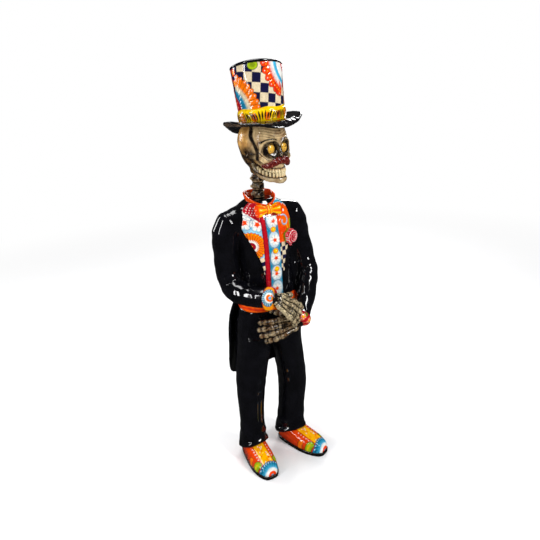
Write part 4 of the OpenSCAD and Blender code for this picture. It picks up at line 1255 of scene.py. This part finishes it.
def eyes():
    for side, s in (("right", -1), ("left", 1)):
        g = Grid([s * EYE_X - 17, -48, EYE_Z - 17], [s * EYE_X + 17, -22, EYE_Z + 17], 0.7)
        f = g.ball([s * EYE_X, -34.5, EYE_Z], [14.4, 6.0, 14.0])
        f = join(f, g.ball([s * EYE_X - s * 0.5, -40.5, EYE_Z], [9.2, 4.6, 9.6]), 1.6)
        points, faces = nets(g, f)
        points = smooth(points, faces, 2)
        x, y, z = (points - [s * (EYE_X - 0.5), 0, EYE_Z]).T
        r = np.hypot(x / 0.92, z)
        art = Paint(x, z, rgb(14, 10, 9))
        # the gold disc stands for the clay inside of the hollow head seen lit through the eye hole: clay colour with
        # painted light
        art.put(np.where(y < -36, r - 9.2 - 0.7 * noise(points, 6), 9), mix(GOLD, rgb(150, 92, 30), 0.2), 0.2, 1.8)
        # painted light: a brighter yellow pool set higher on the disc
        art.put(np.where(y < -36, np.hypot(x + 1.5, z - 2) - 5.4 - 0.6 * noise(points, 4), 9), mix(GOLD, YELLOW, 0.2), 0.1, 4)
        art.put(np.where((y < -36) & (noise(points, 2.4) > 0.45), r - 8, 9), rgb(110, 70, 28), 0, 1)
        make(side + "_eye_hole_painted_light", HEAD.out(points), faces, BONE, "head", [side + "_eye"], art.c)


# ---- hat ----
CROWN_LOW_R, CROWN_HIGH_R, CROWN_H, BAND_H = 45, 50, 104, 22


def hat_angle(p):
    """Distance round the crown from the side that faces a viewer at the figure's right front."""
    seen = HAT.into(CAMERA)
    t = np.arctan2(p[:, 1], p[:, 0]) - math.atan2(seen[1], seen[0])
    return 47.5 * ((t + math.pi) % (2 * math.pi) - math.pi)


def crown_art(u, v):
    art = Paint(u, v, CREAM)
    art.checks(0 * u - 9, 16.0, -0.17, -6, 4)
    # patch with dotted spots beside the first wing
    art.disc(-60, 80, 21, NAVY, 0.1, 1.6)
    for x, z in ((-52, 92), (-53, 73), (-69, 82), (-68, 100)):
        art.disc(x, z, 6.6, FLAME, 0.3)
        art.spots([(x + 3.8 * math.cos(a), z + 3.8 * math.sin(a)) for a in np.arange(0, 6.2, 1.05)], 0.9, YELLOW, 0.5)
        art.disc(x, z, 1.6, YELLOW, 0.5)
    wing = [(0, ORANGE), (14, FLAME), (17, CRIMSON), (32, CRIMSON), (34, TEAL), (44, mix(TEAL, AQUA, 0.5)),
            (50, CREAM), (54, CREAM), (58, ORANGE), (75, mix(ORANGE, FLAME, 0.25))]
    art.fan(-75, 20, wing, -14, 66, 10, 0.05, 71)
    d = art.disc(-6, 96, 9.4, LIME, 0.35, 0.78)
    art.outline(d)
    art.disc(-6, 96, 5, mix(OLIVE, LIME, 0.3), 0.2, 0.7)
    other = [(0, FLAME), (13, RED), (17, PINK), (20, WHITE), (33, WHITE), (35, mix(SKY, TEAL, 0.4)), (40, SKY),
             (43, WHITE), (48, mix(WHITE, PINK, 0.35)), (52, FLAME), (67, mix(FLAME, RED, 0.3))]
    art.fan(75, 100, other, 165, 246, 7, 0.07, 62)
    for k in range(14):
        a = math.radians(168 + 5.6 * k)
        art.disc(75 + 57 * math.cos(a), 100 + 57 * math.sin(a), 0.8, YELLOW, 0.5)
    for path in ([(31, 60), (36, 50), (39, 42)], [(45, 70), (50, 58), (52, 46)], [(60, 74), (63, 60), (64, 48)]):
        art.stroke(path, 4.4, mix(RED, FLAME, 0.3), 0.45, 0.9)
    # leaves and flowers round the far side
    for x, z, a in ((84, 52, 1.2), (92, 30, 1.7), (90, 82, 0.9)):
        art.leaf(x, z, 24, 13, a, GREEN if z < 60 else LIME)
    for x, z in ((108, 78), (120, 46), (138, 82)):
        art.daisy(x, z, 15, 8, x)
    small = [(r * 0.7, c) for r, c in wing]
    art.fan(116, 22, small, 20, 175, 15, 0.05, 50)
    art.fan(-108, 26, [(r * 0.8, c) for r, c in other], -20, 120, 14, 0.07, 50)
    art.daisy(-128, 84, 14, 8, 0.4)
    art.leaf(-96, 92, 22, 12, 2.6, OLIVE)
    art.put(v - BAND_H - 3 - 1.2 * np.sin(u / 8), YELLOW, 0.3)
    return art


def hat():
    count, rows = 380, 132
    z = np.linspace(0, CROWN_H - 4, rows)
    wall = [(mix(CROWN_LOW_R, CROWN_HIGH_R - 0.3, v / (CROWN_H - 4)), v) for v in z]
    lip = [(CROWN_HIGH_R + 0.5, CROWN_H - 3.2), (CROWN_HIGH_R + 0.8, CROWN_H - 2), (CROWN_HIGH_R + 0.2, CROWN_H - 0.8),
           (CROWN_HIGH_R - 1, CROWN_H)]
    top = [(r, CROWN_H + 0.2 - 0.6 * math.cos(r / 16)) for r in np.linspace(CROWN_HIGH_R - 3, 2, 40)]
    inner = [(2, CROWN_H - 6)] + [(r, CROWN_H - 6) for r in np.linspace(8, CROWN_HIGH_R - 7, 8)]
    inside = [(mix(CROWN_HIGH_R - 6, CROWN_LOW_R - 5, k / 10), mix(CROWN_H - 9, 0, k / 10)) for k in range(11)]
    outer = [(0, CROWN_H - 0.4)] + top[::-1] + lip[::-1] + wall[::-1]
    profile = [(0, CROWN_H - 6)] + inner + inside + outer[::-1]
    points, faces = lathe(profile, count)
    u, v = hat_angle(points), points[:, 2]
    r = np.hypot(points[:, 0], points[:, 1])
    art = crown_art(u, v)
    skin = (r > CROWN_LOW_R - 2.5) & (v < CROWN_H - 3.5)
    art.put(CROWN_H - 4.5 - v, INK, 0.2, 1)
    dark = ~skin
    art.c[dark], art.h[dark] = rgb(12, 12, 16), 0
    art.hand_mixed(points)
    n = normals(points, faces)
    shape = 0.5 * cloudy(points, 30, 2) * (r > 40)
    points = points + n * (art.h + shape)[:, None]
    # the potter cut the top lower on the left of the figure and higher in front
    share = (points[:, 2] / CROWN_H) ** 2
    points[:, 2] += share * (-0.115 * points[:, 0] - 0.13 * points[:, 1] - 2.0)
    make("painted_crown", HAT.out(points), faces, PAINTED, "head", ["hat_crown"], art.c)

    band_r = [mix(CROWN_LOW_R, CROWN_HIGH_R, v / CROWN_H) for v in (2, BAND_H)]
    low = np.linspace(0, 1, 30)
    bulge = [(mix(band_r[0], band_r[1], k) + 0.6 + 2.0 * math.sin(math.pi * k) ** 0.5, mix(1.5, BAND_H, k)) for k in low]
    back = [(mix(band_r[1], band_r[0], k) - 1.0, mix(BAND_H, 1.5, k)) for k in (0, 0.5, 1)]
    ring = np.array(bulge + back)
    count = 420
    t = 2 * math.pi * np.arange(count) / count
    points = np.stack([np.outer(ring[:, 0], np.cos(t)), np.outer(ring[:, 0], np.sin(t)),
                       np.repeat(ring[:, 1:], count, 1)], 2).reshape(-1, 3)
    i, j = np.meshgrid(np.arange(len(ring)), np.arange(count), indexing="ij")
    a, b = i * count + j, i * count + (j + 1) % count
    c, d = (i + 1) % len(ring) * count + j, (i + 1) % len(ring) * count + (j + 1) % count
    faces = np.stack([a, b, d, c], 2).reshape(-1, 4)
    u, v = hat_angle(points), points[:, 2]
    art = Paint(u, v, YELLOW)
    for k in range(12):
        art.disc(-140 + 25 * k, 9, 6, ORANGE, 0, 1.3)
    own = np.random.default_rng(11)
    for k in range(62):
        x = -148 + 4.8 * k
        lean = 5.5 * math.sin(x / 13.0)
        low_v, high_v = own.uniform(1, 5), own.uniform(BAND_H - 5, BAND_H - 1)
        art.stroke([(x, low_v), (x + lean * 0.3, mix(low_v, high_v, 0.5)), (x + lean * 1.2, high_v)],
                   own.uniform(2.6, 3.9), INK, 0.3, 0.8)
    for x in (-44, 60, -120):
        art.disc(x, 11, 8.6, mix(ORANGE, YELLOW, 0.2), 0.2)
        art.outline(art.polar(x, 11)[0] - 8.6, 1.2)
        for k in range(-2, 3):
            art.stroke([(x + 2.6 * k, 8), (x + 2.6 * k, 14)], 1.2, INK, 0.3)
    art.hand_mixed(points)
    points = points + normals(points, faces) * art.h[:, None]
    make("painted_band", HAT.out(points), faces, PAINTED, "head", ["hat_band"], art.c)

    points, faces = soften("hat_brim", 1.35, 4)
    p = HAT.into(points)
    r = np.hypot(p[:, 0], p[:, 1])
    n = normals(points, faces)
    turned = n @ HAT.m[:, 2]
    lift = 0.9 * cloudy(p, 24, 2) * step(50, 60, r) + 0.5 * np.sin(8 * np.arctan2(p[:, 1], p[:, 0]) + r / 6) * (turned < -0.3)
    art = Paint(p[:, 0], p[:, 1], rgb(13, 12, 13))
    under = step(-0.35, -0.8, turned) * step(50, 62, r) * step(0.84, 0.97, abs(p[:, 0]) / np.maximum(r, 1))
    tan = mix(rgb(120, 98, 74), rgb(70, 54, 42), np.clip(0.5 + cloudy(p, 9), 0, 1)[:, None])
    art.c = mix(art.c, tan, (under * np.clip(0.75 + 0.7 * cloudy(p, 14), 0, 1))[:, None])
    edge = step(0.35, 0.7, noise(p, 9)) * step(0.7, 0.2, abs(turned)) * 0.5
    art.c = mix(art.c, rgb(84, 70, 56), edge[:, None])
    t = np.degrees(np.arctan2(p[:, 0], -p[:, 1]))
    fall = step(56, 80, r)
    drop = fall * (9 * np.exp(-((t - 8) / 28) ** 2) - 5 * np.exp(-((t + 62) / 30) ** 2))
    points = points + n * lift[:, None] + drop[:, None] * [0, 0, 1]
    make("glazed_brim", points, faces, PAINTED, "head", ["hat_brim"], art.c)


# ---- the figure ----
tailcoat()
trousers()
tails()
sash()
for side, arm in zip(("right", "left"), ARMS):
    shoe(side)
    cuff(side, arm)
    hand(side, arm)
front_piece("right_lapel", "right_painted_lapel", right_lapel_art)
front_piece("left_lapel", "left_painted_lapel", left_lapel_art)
front_piece("shirt_front", "red_shirt", shirt_art)
front_piece("button_placket", "painted_placket", placket_art)
lay_buttons()
collar()
bow()
rose()
vertebrae()
skull()
jaw()
teeth("upper_teeth", 699, 9, True)
teeth("lower_teeth", 689.5, 10.5, False)
moustache()
eyes()
hat()
for node, material in (("neck_rod", STEEL), ("neck_socket", CLAY), ("head_socket", CLAY)):
    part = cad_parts[node]
    part.data.materials.clear()
    part.data.materials.append(material)

# ---- floor, light and camera ----
def floor():
    rings = [0.0, 0.15, 0.4, 0.8, 1.5, 3, 6, 14]
    count = 48
    mesh = bpy.data.meshes.new("studio_floor")
    points = [(0, 0, 0)] + [(r * math.cos(2 * math.pi * k / count), r * math.sin(2 * math.pi * k / count), 0)
                            for r in rings[1:] for k in range(count)]
    faces = [(0, 1 + k, 1 + (k + 1) % count) for k in range(count)]
    for i in range(len(rings) - 2):
        a, b = 1 + i * count, 1 + (i + 1) * count
        faces += [(a + k, b + k, b + (k + 1) % count, a + (k + 1) % count) for k in range(count)]
    mesh.from_pydata(points, [], faces)
    piece = bpy.data.objects.new("studio_floor", mesh)
    bpy.context.scene.collection.objects.link(piece)
    m = bpy.data.materials.new("studio_floor")
    m.use_nodes = True
    nodes, link = m.node_tree.nodes, m.node_tree.links.new
    shader, output = nodes["Principled BSDF"], nodes["Material Output"]
    shader.inputs["Roughness"].default_value = 0.75
    shader.inputs["Specular IOR Level"].default_value = 0.1
    where = nodes.new("ShaderNodeTexCoord")
    speck = nodes.new("ShaderNodeTexNoise")
    speck.inputs["Scale"].default_value = 6
    link(where.outputs["Object"], speck.inputs["Vector"])
    tone = nodes.new("ShaderNodeValToRGB")
    tone.color_ramp.elements[0].color = (0.86, 0.86, 0.87, 1)
    tone.color_ramp.elements[1].color = (0.90, 0.90, 0.91, 1)
    link(speck.outputs["Fac"], tone.inputs["Fac"])
    link(tone.outputs["Color"], shader.inputs["Base Color"])
    # the floor fades into the colour of the studio further out
    far = nodes.new("ShaderNodeVectorMath")
    far.operation = "LENGTH"
    link(where.outputs["Object"], far.inputs[0])
    share = nodes.new("ShaderNodeMapRange")
    share.interpolation_type = "SMOOTHSTEP"
    share.inputs["From Min"].default_value, share.inputs["From Max"].default_value = 0.7, 2.6
    link(far.outputs["Value"], share.inputs["Value"])
    glow = nodes.new("ShaderNodeEmission")
    glow.inputs["Color"].default_value = (STUDIO, STUDIO, STUDIO, 1)
    both = nodes.new("ShaderNodeMixShader")
    link(share.outputs["Result"], both.inputs[0])
    link(shader.outputs[0], both.inputs[1])
    link(glow.outputs[0], both.inputs[2])
    link(both.outputs[0], output.inputs["Surface"])
    mesh.materials.append(m)
    # the black glaze mirrors the lamps and not the floor
    piece.visible_glossy = False


STUDIO = 1.0


def studio():
    world = bpy.data.worlds.new("studio")
    bpy.context.scene.world = world
    world.use_nodes = True
    nodes, link = world.node_tree.nodes, world.node_tree.links.new
    back = nodes["Background"]
    back.inputs["Color"].default_value = (1, 1, 1, 1)
    ray = nodes.new("ShaderNodeLightPath")
    level = nodes.new("ShaderNodeMapRange")
    level.inputs["To Min"].default_value = 0.42
    level.inputs["To Max"].default_value = STUDIO
    link(ray.outputs["Is Camera Ray"], level.inputs["Value"])
    gloss = nodes.new("ShaderNodeMapRange")
    gloss.inputs["To Max"].default_value = 0.03
    link(ray.outputs["Is Glossy Ray"], gloss.inputs["Value"])
    link(level.outputs["Result"], gloss.inputs["To Min"])
    link(gloss.outputs["Result"], back.inputs["Strength"])
    middle = Vector((0, 0, 0.48))

    def light(name, place, size, power, tall=None):
        data = bpy.data.lights.new(name, "AREA")
        data.shape = "RECTANGLE"
        data.size, data.size_y, data.energy = size, tall or size, power
        lamp = bpy.data.objects.new(name, data)
        lamp.location = place
        lamp.rotation_mode = "QUATERNION"
        lamp.rotation_quaternion = (Vector(place) - middle).to_track_quat("Z", "Y")
        bpy.context.scene.collection.objects.link(lamp)

    light("key_strip", (0.75, -1.55, 1.75), 0.34, 30, 1.1)
    light("left_strip", (-1.9, -0.5, 1.2), 0.16, 14, 1.3)
    light("back_strip", (1.3, 1.5, 1.5), 0.4, 18, 1.2)
    light("back_left", (-1.3, 1.6, 1.2), 0.3, 12, 1.2)
    light("top_box", (-0.2, 0.2, 2.4), 0.9, 22)


def camera():
    data = bpy.data.cameras.new("camera")
    data.sensor_width = 36
    data.lens = 505.81 * 36 / 540
    cam = bpy.data.objects.new("camera", data)
    bpy.context.scene.collection.objects.link(cam)
    cam.location = Vector(CAMERA * MM)
    yaw, pitch, roll = math.radians(-26 - 0.432), math.radians(21.014), math.radians(-3.0)
    ahead = np.array([-math.sin(yaw) * math.cos(pitch), math.cos(yaw) * math.cos(pitch), -math.sin(pitch)])
    right = np.array([math.cos(yaw), math.sin(yaw), 0])
    up = np.cross(right, ahead)
    across = right * math.cos(roll) + up * math.sin(roll)
    above = -right * math.sin(roll) + up * math.cos(roll)
    from mathutils import Matrix
    cam.rotation_mode = "QUATERNION"
    cam.rotation_quaternion = Matrix(np.stack([across, above, -ahead], 1).tolist()).to_quaternion()
    bpy.context.scene.camera = cam


floor()
studio()
camera()
bpy.context.scene.view_settings.view_transform = "Standard"
